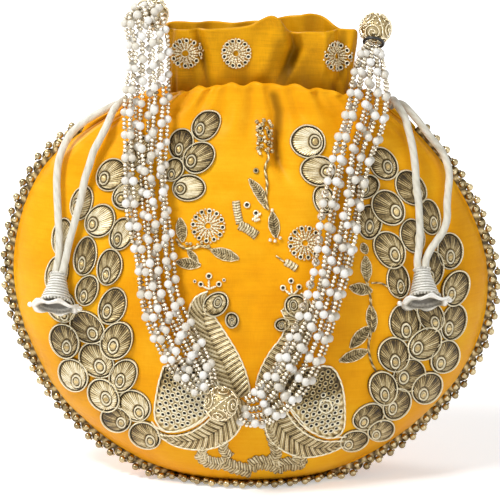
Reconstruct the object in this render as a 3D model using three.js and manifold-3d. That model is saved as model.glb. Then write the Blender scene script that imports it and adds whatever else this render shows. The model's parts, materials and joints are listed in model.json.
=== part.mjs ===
// A potli bag: a round stuffed pouch of orange silk that stands on its flattened base. Two panels are
// seamed round their edge with a beaded lace, the neck is gathered by two drawstrings that end in wound
// bells, an upright frill rises from the neck, and a handle of pearl strands hangs down the front.
// Millimetres, +Z up, the front faces -Y, and the origin is the middle of the flat base.
import * as THREE from "three";
import { ConvexGeometry } from "three/addons/geometries/ConvexGeometry.js";
import { TessellateModifier } from "three/addons/modifiers/TessellateModifier.js";
import { mergeVertices } from "three/addons/utils/BufferGeometryUtils.js";
import Module from "manifold-3d";

const wasm = await Module();
wasm.setup();

// Driving dimensions.
const BAG_WIDTH = 208.6; // across the cloth at its widest
const HEM_HEIGHT = 165; // floor to the hem, at the sides
const HEM_ARCH = 10; // how much higher the hem is in the middle
const FRONT_DEPTH = 47; // seam plane to the fullest point of the front
const BACK_DEPTH = 40; // seam plane to the fullest point of the back
const CLOTH = 1.2; // silk with its padding
const LINING = 0.8;
const GAP = 0.3; // between pieces that rest on each other

const NECK_HALF_WIDTH = 41; // outside of the frill's foot
const NECK_HALF_DEPTH = 12.5;
const NECK_SHIFT = 4.2; // the neck sits a little to the right of the middle
const HEM_OVERHANG = 8.1; // how far the puffed hem stands out from the neck, front and back
const HEM_SIDE_OVERHANG = 15;
const PLEAT_DEPTH = 2.6;
const FRONT_FOLD_DEPTH = 7; // the one deep fold below the neck

const FRILL_HEIGHT = 201; // floor to the top of the frill
const FRILL_HALF_WIDTH = 42.3; // at its top
const FRILL_HALF_DEPTH = 14.5;
const FRILL_FOOT_DROP = 11; // how far its foot reaches below the hem
const FRILL_WAVE = 3.6;

const CORD_DIAMETER = 3.3;
const BEAD_DIAMETER = 3.3; // gold beads on the lace
const BEAD_PITCH = 6.4;
const LACE_REACH = 5.4; // how far the lace stands out from the cloth
const LACE_TUCK = 1; // how far it goes in between the panels
const LACE_SEAM = 0.7; // half of the space that the panels leave for it

const PEARL_DIAMETER = 4;
const PEARL_PITCH = 16;
const SMALL_BEAD_DIAMETER = 1.7;
const END_BALL_DIAMETER = 14.4; // filigree balls at the ends of the handle
const CENTRE_BALL_DIAMETER = 14.6;
const MOUTH_RING_DIAMETER = 8.4; // round the mouth that the strands leave an end ball by
const MOUTH_RING_THICKNESS = 1.3;

const BELL_LENGTH = 17;
const BELL_TOP_DIAMETER = 7.4;
const BELL_FOOT_DIAMETER = 15;
const BELL_HEM_DIAMETER = 21;
const BELL_RIBS = 4;
const BELL_LEAN = 29; // degrees that its mouth leans out from the belly

const EMBROIDERY_LIFT = 0.7; // of its underside from the cloth's smooth outline
const EMBROIDERY_EDGE = 0.6; // thickness of the raised work at its edge
const PETAL_RISE = 1.5; // and at the eye of a petal
const EMBROIDERY_FACET = 14; // longest edge of the raised work before it is laid on the cloth

// The outline seen from the front: share of the hem's height, then shares of half the width on the left
// and on the right. The bag is sewn by hand, so its right shoulder is a little slimmer.
const OUTLINE = [
  [0, 0.345, 0.345],
  [0.058, 0.545, 0.54],
  [0.19, 0.785, 0.795],
  [0.35, 0.93, 0.955],
  [0.52, 1, 1],
  [0.68, 0.975, 0.945],
  [0.83, 0.87, 0.815],
  [0.93, 0.7, 0.685],
  [1, 0.52, 0.56],
];

// The same from the side: share of the height, then shares of the front's and of the back's depth.
const SIDE_PROFILE = [
  [0, 0.574, 0.625],
  [0.05, 0.745, 0.775],
  [0.18, 0.936, 0.95],
  [0.36, 1, 1],
  [0.57, 0.936, 0.94],
  [0.78, 0.723, 0.74],
  [0.93, 0.5, 0.55],
  [1, 0.44, 0.51],
];

// How square a section is: 1.24 gives the body's pointed lens, 0.5 the neck's blunt oval.
const BODY_POWER = 1.24;
const NECK_POWER = 0.5;

// Places read off the photograph are pairs of its pixels. Its scale ties them to the bag's own size.
const PHOTO_MIDDLE = 251;
const PHOTO_FLOOR = 471.3;
const PHOTO_WIDTH = 474;
const PHOTO_HEM = 375; // rows from the floor to the hem at the sides
const VIEW_TILT = THREE.MathUtils.degToRad(12);
const SCALE_X = BAG_WIDTH / PHOTO_WIDTH;
const SCALE_Z = HEM_HEIGHT / PHOTO_HEM;

const CORD_RADIUS = CORD_DIAMETER / 2;
const BEAD_RADIUS = BEAD_DIAMETER / 2;
const QUARTER = Math.PI / 2;
const SLIT = CORD_DIAMETER + 3 * GAP; // half of the opening that both ends of a drawstring leave by
const LIP = CORD_DIAMETER + 3 * GAP; // how far the hem's inner edge stands from the neck

const { clamp, degToRad, lerp, smoothstep } = THREE.MathUtils;
const vec = (x, y, z) => new THREE.Vector3(x, y, z);

// A smooth curve through rows of [place, value, value ...]: cubic pieces whose slope at each row is
// that of the line between its neighbours. It gives the value in the named column.
function curveThrough(rows, column) {
  const slope = rows.map((row, i) => {
    const before = rows[Math.max(i - 1, 0)];
    const after = rows[Math.min(i + 1, rows.length - 1)];
    return (after[column] - before[column]) / (after[0] - before[0]);
  });
  return (place) => {
    const at = clamp(place, rows[0][0], rows[rows.length - 1][0]);
    const i = Math.min(rows.findLastIndex((row) => row[0] <= at), rows.length - 2);
    const span = rows[i + 1][0] - rows[i][0];
    const u = (at - rows[i][0]) / span;
    const rise = u * u * (3 - 2 * u);
    const start = u * (1 - u) * (1 - u) * span * slope[i];
    const end = u * u * (u - 1) * span * slope[i + 1];
    return lerp(rows[i][column], rows[i + 1][column], rise) + start + end;
  };
}

const leftOutline = curveThrough(OUTLINE, 1);
const rightOutline = curveThrough(OUTLINE, 2);
const frontProfile = curveThrough(SIDE_PROFILE, 1);
const backProfile = curveThrough(SIDE_PROFILE, 2);

// A level section of the pouch or of its neck.
function bodySection(share) {
  const half = BAG_WIDTH / 2;
  const room = NECK_HALF_DEPTH + HEM_OVERHANG;
  return {
    left: half * leftOutline(share),
    right: half * rightOutline(share),
    front: Math.max(FRONT_DEPTH * frontProfile(share), room),
    back: Math.max(BACK_DEPTH * backProfile(share), room),
    power: lerp(BODY_POWER, NECK_POWER, smoothstep(share, 0.75, 1)),
    z: share * HEM_HEIGHT,
    arch: HEM_ARCH * smoothstep(share, 0.6, 1),
  };
}

function neckSection(out, sideOut, z) {
  return {
    left: NECK_HALF_WIDTH - NECK_SHIFT + sideOut,
    right: NECK_HALF_WIDTH + NECK_SHIFT + sideOut,
    front: NECK_HALF_DEPTH + out,
    back: NECK_HALF_DEPTH + out,
    power: NECK_POWER,
    z,
    arch: HEM_ARCH,
  };
}

function inset(section, by, frontBy = by) {
  const { left, right, front, back } = section;
  return { ...section, left: left - by, right: right - by, front: front - frontBy, back: back - by };
}

// The point of a section at an angle: 0 is the front, a quarter turn the right side.
function sectionPoint(section, turn, inward = 0) {
  const side = Math.sin(turn);
  const ahead = Math.cos(turn);
  const half = side < 0 ? section.left : section.right;
  const deep = ahead > 0 ? section.front : section.back;
  const reach = Math.sign(ahead) * Math.abs(ahead) ** section.power;
  const out = vec(side / half, -ahead / deep, 0).normalize();
  const point = vec(half * side, -deep * reach, section.z + section.arch * ahead * ahead);
  return point.addScaledVector(out, -inward);
}

// A solid sheet: triangles of outer points, the same points moved in, and a wall along every open edge.
function thicken(outer, faces, inner) {
  const count = outer.length;
  const edges = new Map();
  for (const [a, b, c] of faces) {
    for (const [p, q] of [[a, b], [b, c], [c, a]]) {
      if (!edges.delete(`${q},${p}`)) edges.set(`${p},${q}`, [p, q]);
    }
  }
  const all = [...faces, ...faces.map(([a, b, c]) => [c + count, b + count, a + count])];
  for (const [p, q] of edges.values()) {
    all.push([q, p, p + count]);
    all.push([q, p + count, q + count]);
  }
  return indexed([...outer, ...inner], all);
}

function indexed(points, faces) {
  const geometry = new THREE.BufferGeometry();
  geometry.setAttribute("position", new THREE.Float32BufferAttribute(points.flatMap((p) => p.toArray()), 3));
  geometry.setIndex(faces.flat());
  return geometry;
}

// Points moved in along the surface's own normals.
function movedIn(points, faces, depth) {
  const geometry = indexed(points, faces);
  geometry.computeVertexNormals();
  const normals = geometry.getAttribute("normal");
  return points.map((p, i) => p.clone().addScaledVector(vec(0, 0, 0).fromBufferAttribute(normals, i), -depth));
}

// Two triangles for each cell of a grid of rows from the bottom up, with columns to the right.
function gridFaces(rows, columns, wrapped = false) {
  const across = wrapped ? columns : columns + 1;
  const faces = [];
  for (let r = 0; r < rows; r++) {
    for (let c = 0; c < columns; c++) {
      const a = r * across + c;
      const b = r * across + ((c + 1) % across);
      faces.push([a, b, b + across]);
      faces.push([a, b + across, a + across]);
    }
  }
  return faces;
}

// The side seam runs at the widest place, and comes forward round the base's front edge at the bottom.
const BASE_SEAM_TURN = degToRad(52);
const SEAM_FORWARD_BELOW = 0.16;
const seamTurn = (share) => lerp(BASE_SEAM_TURN, QUARTER, smoothstep(share, 0, SEAM_FORWARD_BELOW));

// The frame of the seam on one side (-1 left, 1 right): its line, the way out of the cloth, and the way
// across it in the cloth, from the back panel to the front one.
function seamFrame(share, turn, side) {
  const step = 0.002;
  const at = sectionPoint(bodySection(share), turn);
  const up = sectionPoint(bodySection(share + step), turn).sub(at);
  const round = sectionPoint(bodySection(share), turn + step).sub(at);
  const out = round.cross(up).normalize();
  const along = sectionPoint(bodySection(share + step), side * seamTurn(share + step)).sub(at);
  const across = out.clone().cross(along).multiplyScalar(side).normalize();
  return { at, out, across };
}

function acrossSeam(share, side) {
  const ahead = vec(0, -1, 0);
  return share < SEAM_FORWARD_BELOW ? seamFrame(share, side * seamTurn(share), side).across : ahead;
}

const SLIT_FROM = 0.9;
const SLIT_OPEN = 0.95;
const seamRoom = (share) => lerp(LACE_SEAM, SLIT, smoothstep(share, SLIT_FROM, SLIT_OPEN));
const LACE_HEIGHT = CLOTH + LACE_SEAM; // of the seam along the floor
const LACE_LOW = LACE_HEIGHT / HEM_HEIGHT;

const PANEL_ROWS = [0.035, 0.09, 0.18, 0.32, 0.5, 0.68, 0.8, 0.89, 0.95];
const hemRows = [
  { share: 1, section: neckSection(HEM_OVERHANG, HEM_SIDE_OVERHANG, HEM_HEIGHT - 2.2) },
  { share: 1, section: neckSection(HEM_OVERHANG - 2, HEM_SIDE_OVERHANG - 4, HEM_HEIGHT) },
  { share: 1, section: neckSection(LIP, LIP, HEM_HEIGHT - GAP) },
];
const panelRows = (lowest) => [
  { share: lowest, section: bodySection(lowest) },
  ...PANEL_ROWS.map((share) => ({ share, section: bodySection(share) })),
  ...hemRows,
];

// Every second column of a panel is the valley of a pleat, deeper towards the neck.
function pleatDepth(column, row, rows) {
  const valley = column % 2 ? PLEAT_DEPTH : 0;
  const lip = row === rows - 1 ? 0.4 : 1;
  return valley * lip;
}

const FRONT_COLUMNS = 24;
const FRONT_FOLD_COLUMN = 13;

// The one deep fold starts at the shoulder and closes again where the neck is drawn together.
const frontFold = (share) =>
  FRONT_FOLD_DEPTH * smoothstep(share, 0.7, 0.86) * (1 - smoothstep(share, 0.88, 0.96));

function frontPanel() {
  const rows = panelRows((LACE_HEIGHT + BEAD_RADIUS + 3 * GAP) / HEM_HEIGHT);
  const points = rows.flatMap(({ share, section }, r) =>
    Array.from({ length: FRONT_COLUMNS + 1 }, (_, c) => {
      const across = (2 * c) / FRONT_COLUMNS - 1;
      const onEdge = c === 0 || c === FRONT_COLUMNS;
      const gathered = smoothstep(share, 0.68, 1);
      const fold = c === FRONT_FOLD_COLUMN ? frontFold(share) : 0;
      const depth = onEdge ? 0 : pleatDepth(c, r, rows.length) * gathered + fold;
      const point = sectionPoint(section, across * seamTurn(share), depth);
      const shift = onEdge && r > 0 ? seamRoom(share) : 0;
      return point.addScaledVector(acrossSeam(share, Math.sign(across) || 1), shift);
    }),
  );
  const faces = gridFaces(rows.length - 1, FRONT_COLUMNS);
  return thicken(points, faces, movedIn(points, faces, CLOTH));
}

const BACK_COLUMNS = 16;
const BASE_ARC = 10;

// The back panel carries the flat base, whose front edge follows the seam.
function backPanel() {
  const rows = panelRows(0);
  const points = rows.flatMap(({ share, section }, r) =>
    Array.from({ length: BACK_COLUMNS + 1 }, (_, c) => {
      const start = seamTurn(share);
      const turn = lerp(start, 2 * Math.PI - start, c / BACK_COLUMNS);
      const onEdge = c === 0 || c === BACK_COLUMNS;
      const gathered = smoothstep(share, 0.68, 1);
      const depth = onEdge ? 0 : pleatDepth(c, r, rows.length) * gathered;
      const point = sectionPoint(section, turn, depth);
      const shift = onEdge && r > 0 ? -seamRoom(share) : 0;
      return point.addScaledVector(acrossSeam(share, c ? -1 : 1), shift);
    }),
  );
  const faces = gridFaces(rows.length - 1, BACK_COLUMNS);
  const rim = Array.from({ length: BACK_COLUMNS + 1 }, (_, c) => c);
  for (let k = 1; k < BASE_ARC; k++) {
    rim.push(points.length);
    points.push(sectionPoint(rows[0].section, lerp(-BASE_SEAM_TURN, BASE_SEAM_TURN, k / BASE_ARC)));
  }
  const middle = points.length;
  points.push(vec(0, 0, 0));
  rim.forEach((at, k) => faces.push([rim[(k + 1) % rim.length], at, middle]));
  return thicken(points, faces, movedIn(points, faces, CLOTH));
}

const FRILL_COLUMNS = 36;
const FRILL_ROWS = 3;
const FRILL_FOLDS = 9;
const FRILL_FOOT = HEM_HEIGHT - FRILL_FOOT_DROP;

function frillSection(up) {
  return {
    left: lerp(NECK_HALF_WIDTH, FRILL_HALF_WIDTH, up * up) - NECK_SHIFT,
    right: lerp(NECK_HALF_WIDTH, FRILL_HALF_WIDTH, up * up) + NECK_SHIFT,
    front: lerp(NECK_HALF_DEPTH, FRILL_HALF_DEPTH, up * up),
    back: lerp(NECK_HALF_DEPTH, FRILL_HALF_DEPTH, up * up),
    power: NECK_POWER,
    z: lerp(FRILL_FOOT, FRILL_HEIGHT, up),
    arch: HEM_ARCH * (1 - up),
  };
}

// The frill's folds go in from its outline: nothing at the foot, full depth at the top.
const frillFold = (turn, up) => FRILL_WAVE * up * (0.5 - 0.5 * Math.cos(FRILL_FOLDS * turn));

function neckFrill() {
  const points = [];
  for (let r = 0; r <= FRILL_ROWS; r++) {
    const up = r / FRILL_ROWS;
    for (let c = 0; c < FRILL_COLUMNS; c++) {
      const turn = (2 * Math.PI * c) / FRILL_COLUMNS;
      const middle = Math.abs(Math.cos(turn));
      points.push(sectionPoint(frillSection(up), turn, frillFold(turn, up) * middle));
    }
  }
  const faces = gridFaces(FRILL_ROWS, FRILL_COLUMNS, true);
  return thicken(points, faces, movedIn(points, faces, CLOTH));
}

const LINING_COLUMNS = 14;
const LINING_SHARES = [0.05, 0.18, 0.4, 0.64, 0.84];
const LINING_TOP = 16; // how far it rises inside the frill

function liningBag() {
  const clear = 3 * CLOTH + GAP;
  const floor = { ...inset(bodySection(0), clear), z: CLOTH + GAP };
  const inNeck = CLOTH + 2 * GAP + FRILL_WAVE * 0.25;
  const sections = [
    floor,
    ...LINING_SHARES.map((share) => {
      const gathered = smoothstep(share, 0.62, 0.85);
      const by = clear + PLEAT_DEPTH * gathered;
      return inset(bodySection(share), by, by + FRONT_FOLD_DEPTH * gathered);
    }),
    neckSection(-inNeck, -inNeck, FRILL_FOOT - 1),
    neckSection(-inNeck, -inNeck, FRILL_FOOT + LINING_TOP),
  ];
  const points = sections.flatMap((section) =>
    Array.from({ length: LINING_COLUMNS }, (_, c) => sectionPoint(section, (2 * Math.PI * c) / LINING_COLUMNS)),
  );
  const faces = gridFaces(sections.length - 1, LINING_COLUMNS, true);
  const middle = points.length;
  points.push(vec(0, 0, floor.z));
  for (let c = 0; c < LINING_COLUMNS; c++) faces.push([(c + 1) % LINING_COLUMNS, c, middle]);
  return thicken(points, faces, movedIn(points, faces, LINING));
}

// The seam as a line of places with the way across it and the way out of the cloth, from the left side
// of the neck down, along the floor in front and up to the right side.
const LACE_TOP = 0.93;
const LACE_ROWS = [LACE_TOP, ...PANEL_ROWS.filter((share) => share < LACE_TOP).reverse()];

function seamPlace(share, turn) {
  const { at, out } = seamFrame(share, turn, Math.sign(turn) || 1);
  const lowest = (LACE_HEIGHT - at.z) / LACE_REACH;
  out.z = Math.max(out.z, lowest);
  return { at, out: out.normalize() };
}

function seamLine() {
  const side = LACE_ROWS.map((share) => ({ share, turn: -seamTurn(share) }));
  const lowTurn = seamTurn(LACE_LOW);
  const bottom = Array.from({ length: FRONT_COLUMNS + 1 }, (_, i) => ({
    share: LACE_LOW,
    turn: lerp(-lowTurn, lowTurn, i / FRONT_COLUMNS),
  }));
  const mirrored = side.map(({ share, turn }) => ({ share, turn: -turn })).reverse();
  return [...side, ...bottom, ...mirrored].map(({ share, turn }) => seamPlace(share, turn));
}

// Even steps along a line of places.
function evenly(places, count) {
  const lengths = [0];
  places.slice(1).forEach((place, i) => lengths.push(lengths[i] + place.at.distanceTo(places[i].at)));
  const total = lengths[lengths.length - 1];
  return Array.from({ length: count + 1 }, (_, k) => {
    const wanted = (total * k) / count;
    const i = clamp(lengths.filter((length) => length < wanted).length, 1, places.length - 1);
    const u = (wanted - lengths[i - 1]) / (lengths[i] - lengths[i - 1]);
    const mix = (key) => places[i - 1][key].clone().lerp(places[i][key], u);
    const along = places[i].at.clone().sub(places[i - 1].at).normalize();
    const out = mix("out").normalize();
    return { at: mix("at"), out, across: along.cross(out).normalize() };
  });
}

// The lace is a strip whose edge swells into two staggered rows of beads, one outside the other.
function beadLace() {
  const line = seamLine();
  const length = line.slice(1).reduce((sum, place, i) => sum + place.at.distanceTo(line[i].at), 0);
  const beads = Math.round(length / BEAD_PITCH);
  const sections = evenly(line, 2 * beads).map(({ at, across, out }, k) => {
    const outer = k % 2 === 1;
    const half = outer ? BEAD_RADIUS : 0.5 * BEAD_RADIUS;
    const reach = outer ? LACE_REACH - BEAD_RADIUS : 0.45 * LACE_REACH;
    const middle = at.clone().addScaledVector(out, reach);
    return [
      at.clone().addScaledVector(out, -LACE_TUCK),
      middle.clone().addScaledVector(across, -half),
      middle.clone().addScaledVector(out, half),
      middle.clone().addScaledVector(across, half),
    ];
  });
  return tubeOf(sections);
}

// A closed solid through sections of equally many points, turning left as they are seen from the start.
function tubeOf(sections) {
  const sides = sections[0].length;
  const faces = [];
  for (let k = 1; k < sections.length; k++) {
    for (let i = 0; i < sides; i++) {
      const a = (k - 1) * sides + i;
      const b = (k - 1) * sides + ((i + 1) % sides);
      faces.push([a, b, b + sides]);
      faces.push([a, b + sides, a + sides]);
    }
  }
  const last = (sections.length - 1) * sides;
  for (let i = 1; i < sides - 1; i++) {
    faces.push([0, i + 1, i]);
    faces.push([last, last + i, last + i + 1]);
  }
  const solid = indexed(sections.flat(), faces);
  return signedVolume(solid) < 0 ? turnedOut(solid) : solid;
}

function signedVolume(geometry) {
  const position = geometry.getAttribute("position");
  const index = geometry.getIndex();
  let sum = 0;
  for (let i = 0; i < index.count; i += 3) {
    const [a, b, c] = [0, 1, 2].map((k) => vec(0, 0, 0).fromBufferAttribute(position, index.getX(i + k)));
    sum += a.dot(b.cross(c));
  }
  return sum;
}

function turnedOut(geometry) {
  const index = Array.from(geometry.getIndex().array);
  for (let i = 0; i < index.length; i += 3) {
    [index[i + 1], index[i + 2]] = [index[i + 2], index[i + 1]];
  }
  geometry.setIndex(index);
  return geometry;
}

// A round cord along hand-chosen points.
const CORD_SIDES = 8;

function cordAlong(points, steps) {
  const section = new THREE.Shape();
  for (let i = 0; i < CORD_SIDES; i++) {
    const turn = (2 * Math.PI * i) / CORD_SIDES;
    const [x, y] = [CORD_RADIUS * Math.cos(turn), CORD_RADIUS * Math.sin(turn)];
    if (i) section.lineTo(x, y);
    else section.moveTo(x, y);
  }
  const path = new THREE.CatmullRomCurve3(points.map(([x, y, z]) => vec(x, y, z)), false, "centripetal");
  return new THREE.ExtrudeGeometry(section, { extrudePath: path, steps, bevelEnabled: false });
}

// The drawstrings lie in the casing between the hem and the neck, one above the other. Both ends of the
// left one leave by the left slit, and both ends of the right one by the right slit.
const CASING_EASE = 0.8; // the drawstrings run loosely
const CORD_OUT = GAP + CASING_EASE + CORD_RADIUS;
const LEFT_RING_HEIGHT = HEM_HEIGHT - CLOTH - 3 * GAP - CORD_RADIUS;
const RIGHT_RING_HEIGHT = LEFT_RING_HEIGHT - CORD_DIAMETER - GAP;
const LEG_HALF_SPACING = CORD_RADIUS + GAP / 2;
const RING_TURNS = 22;
const RING_END_TURN = 0.28; // from the slit to where each end bends out into it
const RING_STEPS = 20;

function drawstring(side, height) {
  const section = neckSection(CORD_OUT, CORD_OUT, height);
  const start = side * QUARTER;
  const round = Array.from({ length: RING_TURNS + 1 }, (_, i) => {
    const turn = lerp(start + RING_END_TURN, start + 2 * Math.PI - RING_END_TURN, i / RING_TURNS);
    return sectionPoint(section, turn).toArray();
  });
  const tip = sectionPoint(section, start);
  const leave = side * (CORD_DIAMETER + 1);
  const ends = (y) => [
    [tip.x + leave, Math.sign(y) * LEG_HALF_SPACING, tip.z],
    [tip.x + leave / 2, Math.sign(y) * LEG_HALF_SPACING, tip.z],
  ];
  return cordAlong([...ends(round[0][1]), ...round, ...ends(round[RING_TURNS][1]).reverse()], RING_STEPS);
}

// The four hanging legs, from the slit over the shoulder to the top of the bell. The outer leg of each
// pair is the back end of its drawstring.
const LEG_STEPS = 10;
const CORD_LEGS = {
  left_cord_outer: [
    [-44.2, 1.8, 161.3], [-47.6, 1.8, 161.5], [-53, 1.6, 163.6], [-58, -2.8, 165.2], [-64.5, -7.5, 162.9],
    [-72.3, -8.5, 158.5], [-77.8, -9.3, 153.7], [-81, -12.1, 148.7], [-83.4, -15.2, 141.9],
    [-84.1, -17.3, 135.1], [-83.9, -20, 126.7], [-83.4, -23, 118.2], [-82.9, -25.4, 109.6],
    [-83.2, -26.4, 102], [-84, -27.3, 98], [-84.7, -28.3, 95.2],
  ],
  left_cord_inner: [
    [-44.2, -1.8, 161.3], [-47.6, -1.8, 161.5], [-51.5, -2, 164.2], [-55, -6.5, 167.4], [-59, -14, 165],
    [-62.5, -19.3, 158], [-65, -20.7, 153.2], [-68, -21.8, 147.5], [-69.8, -23.1, 141.7],
    [-71.6, -23.8, 136.3], [-73.4, -25.3, 127.7], [-75.2, -26.4, 121.2], [-77, -27.4, 114.6],
    [-78.8, -28.2, 107.9], [-80, -28.8, 102], [-81, -29.4, 98], [-81.7, -30.2, 95.2],
  ],
  right_cord_inner: [
    [52.6, -1.8, 157.7], [54.8, -1.8, 157.9], [58.8, -1.8, 163.6], [61.6, -5, 167.4], [63.5, -10.8, 165.8],
    [66.5, -13, 161.3], [67.9, -15.8, 156.8], [69.8, -18.3, 149.1], [71, -20.7, 140.3], [71.4, -22.4, 133.9],
    [72.2, -24.1, 127.7], [72.6, -26.2, 121.3], [72.9, -28.6, 112.7], [72.4, -30.2, 106],
    [71.7, -32.4, 101], [72.1, -33.9, 98.2],
  ],
  right_cord_outer: [
    [52.6, 1.8, 157.7], [54.8, 1.8, 157.9], [60, 1.7, 163], [65, -2, 165.2], [70.5, -7, 161],
    [78, -7.8, 151.5], [83.5, -6.8, 144.3], [86.2, -9.9, 136.5], [85.8, -13.9, 130.3], [85.1, -17.4, 124.3],
    [85, -20.2, 117.9], [83.3, -23, 112.9], [80.2, -26, 109], [77.3, -28.6, 105.3], [75.4, -31.1, 101.2],
    [75.3, -32.4, 98.2],
  ],
};

// The surface of the front panel, in the photograph's own columns and rows: the share of the height
// is moved until the place, seen from the camera's tilt, falls on the row that was asked for.
function panelPlace(x, rise) {
  let share = 0.5;
  let place;
  for (let k = 0; k < 30; k++) {
    const section = bodySection(share);
    const half = x < 0 ? section.left : section.right;
    const turn = Math.asin(clamp(x / half, -0.985, 0.985));
    place = { share, turn, at: sectionPoint(section, turn) };
    const seen = place.at.z * Math.cos(VIEW_TILT) + place.at.y * Math.sin(VIEW_TILT);
    share = clamp(share + (0.8 * (rise - seen)) / HEM_HEIGHT, LACE_LOW, 1);
  }
  return place;
}

function outward(pointAt, u, v) {
  const step = 0.002;
  const across = pointAt(u, v + step).sub(pointAt(u, v - step));
  const up = pointAt(u + step, v).sub(pointAt(u - step, v));
  return across.cross(up).normalize();
}

function onPanel(x, rise, lift) {
  const { share, turn, at } = panelPlace(x, rise);
  const normal = outward((u, v) => sectionPoint(bodySection(u), v), share, turn);
  return at.addScaledVector(normal, lift);
}

// The front wall of the frill: its rows run from the hem's middle to the frill's top, whatever its height.
const FRILL_TOP_ROW = 32;
const FRILL_HEM_ROW = 90;

function onFrill(x, rise, lift) {
  const pointAt = (u, v) => sectionPoint(frillSection(u), v, frillFold(v, u) * Math.abs(Math.cos(v)));
  const share = (rise - photoRise(FRILL_HEM_ROW)) / (photoRise(FRILL_TOP_ROW) - photoRise(FRILL_HEM_ROW));
  const z = lerp(HEM_HEIGHT + HEM_ARCH, FRILL_HEIGHT, share);
  const up = clamp((z - FRILL_FOOT) / (FRILL_HEIGHT - FRILL_FOOT), 0, 0.98);
  const section = frillSection(up);
  const half = x < 0 ? section.left : section.right;
  const turn = Math.asin(clamp(x / half, -0.97, 0.97));
  return pointAt(up, turn).addScaledVector(outward(pointAt, up, turn), lift);
}

const photoX = (column) => (column - PHOTO_MIDDLE) * SCALE_X;
const photoRise = (row) => (PHOTO_FLOOR - row) * SCALE_Z;

// Flat solids in columns and rows of the photograph and millimetres of height, joined and then laid on
// the cloth. Each is the outline pulled up, and a dome also has one highest point.
function flatPoint([column, row], height) {
  return vec(photoX(column), photoRise(row), height);
}

function plate(outline, thickness = EMBROIDERY_EDGE) {
  const shape = new THREE.Shape(outline.map((place) => {
    const { x, y } = flatPoint(place, 0);
    return new THREE.Vector2(x, y);
  }));
  return new THREE.ExtrudeGeometry(shape, { depth: thickness, bevelEnabled: false });
}

function dome(outline, top, rise) {
  const rim = outline.flatMap((place) => [flatPoint(place, 0), flatPoint(place, EMBROIDERY_EDGE)]);
  return new ConvexGeometry([...rim, flatPoint(top, rise)]);
}

function ovalOutline([column, row], wide, high, sides, turn = 0) {
  return Array.from({ length: sides }, (_, i) => {
    const at = turn + (2 * Math.PI * i) / sides;
    return [column + wide * Math.cos(at), row + high * Math.sin(at)];
  });
}

function solidOf(geometry) {
  const bare = geometry.clone();
  for (const name of Object.keys(bare.attributes)) {
    if (name !== "position") bare.deleteAttribute(name);
  }
  const merged = mergeVertices(bare, 1e-4);
  return new wasm.Manifold(
    new wasm.Mesh({
      numProp: 3,
      vertProperties: merged.getAttribute("position").array,
      triVerts: new Uint32Array(merged.getIndex().array),
    }),
  );
}

function geometryOf(solid) {
  const { vertProperties, triVerts, numProp } = solid.getMesh();
  const positions = [];
  for (let i = 0; i < vertProperties.length; i += numProp) {
    positions.push(vertProperties[i], vertProperties[i + 1], vertProperties[i + 2]);
  }
  const geometry = new THREE.BufferGeometry();
  geometry.setAttribute("position", new THREE.Float32BufferAttribute(positions, 3));
  geometry.setIndex(Array.from(triVerts));
  return geometry;
}

function laidOn(surface, pieces) {
  const joined = pieces.map(solidOf).reduce((sum, piece) => sum.add(piece));
  const divided = new TessellateModifier(EMBROIDERY_FACET, 8).modify(geometryOf(joined));
  const flat = mergeVertices(divided, 1e-4);
  const position = flat.getAttribute("position");
  for (let i = 0; i < position.count; i++) {
    const point = surface(position.getX(i), position.getY(i), position.getZ(i) + EMBROIDERY_LIFT);
    position.setXYZ(i, point.x, point.y, point.z);
  }
  return flat;
}

// Feather petals: the middle, half the width and height, and the eye that the stitches run to.
const LEFT_SHOULDER_PETALS = [
  [137, 152, 14, 18, 131, 158],
  [112, 175, 16, 17, 102, 180],
  [130, 195, 18, 15, 122, 199],
];
const LEFT_PETALS = [
  [82, 203, 12, 18, 75, 208],
  [101, 221, 16, 17, 93, 225],
  [122, 234, 13, 17, 118, 240],
  [63, 237, 11, 19, 59, 248],
  [86, 256, 12, 20, 83, 264],
  [110, 267, 13, 19, 107, 275],
  [58, 273, 12, 18, 54, 278],
  [88, 290, 12, 16, 85, 296],
  [113, 306, 15, 19, 108, 311],
  [62, 306, 15, 17, 65, 314],
  [88, 327, 18, 17, 94, 333],
  [118, 340, 17, 19, 115, 345],
  [66, 340, 15, 18, 69, 346],
  [97, 360, 18, 18, 101, 366],
  [124, 375, 15, 17, 121, 380],
  [75, 374, 15, 17, 79, 380],
  [105, 394, 16, 17, 108, 397],
  [135, 405, 17, 16, 140, 412],
  [117, 418, 16, 13, 123, 421],
  [146, 434, 16, 14, 152, 439],
];
const LEFT_TOP_PETALS = [
  [206, 126, 15, 16, 200, 130],
  [181, 144, 13, 16, 179, 150],
  [199, 158, 17, 16, 191, 162],
  [174, 170, 11, 12, 172, 175],
  [189, 188, 17, 14, 179, 189],
];
const RIGHT_SHOULDER_PETALS = [
  [383, 164, 15, 17, 387, 167],
  [366, 187, 13, 13, 364, 190],
  [410, 188, 16, 18, 418, 195],
  [387, 208, 17, 18, 396, 213],
  [428, 217, 12, 18, 432, 224],
  [369, 222, 13, 18, 369, 227],
  [389, 250, 17, 19, 394, 255],
  [412, 236, 13, 18, 418, 240],
  [398, 281, 12, 18, 400, 287],
];
const RIGHT_PETALS = [
  [449, 251, 13, 19, 449, 257],
  [431, 269, 12, 19, 429, 278],
  [454, 288, 14, 18, 448, 295],
  [453, 322, 14, 19, 446, 330],
  [404, 322, 16, 19, 405, 330],
  [429, 315, 14, 17, 433, 322],
  [423, 343, 17, 17, 413, 348],
  [444, 356, 15, 17, 438, 363],
  [393, 354, 16, 18, 394, 361],
  [409, 375, 17, 17, 403, 377],
  [382, 387, 15, 17, 383, 393],
  [426, 387, 16, 16, 422, 393],
  [396, 403, 15, 16, 391, 407],
  [368, 416, 16, 14, 363, 421],
  [380, 429, 14, 11, 374, 433],
  [354, 440, 15, 11, 345, 445],
];
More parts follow.
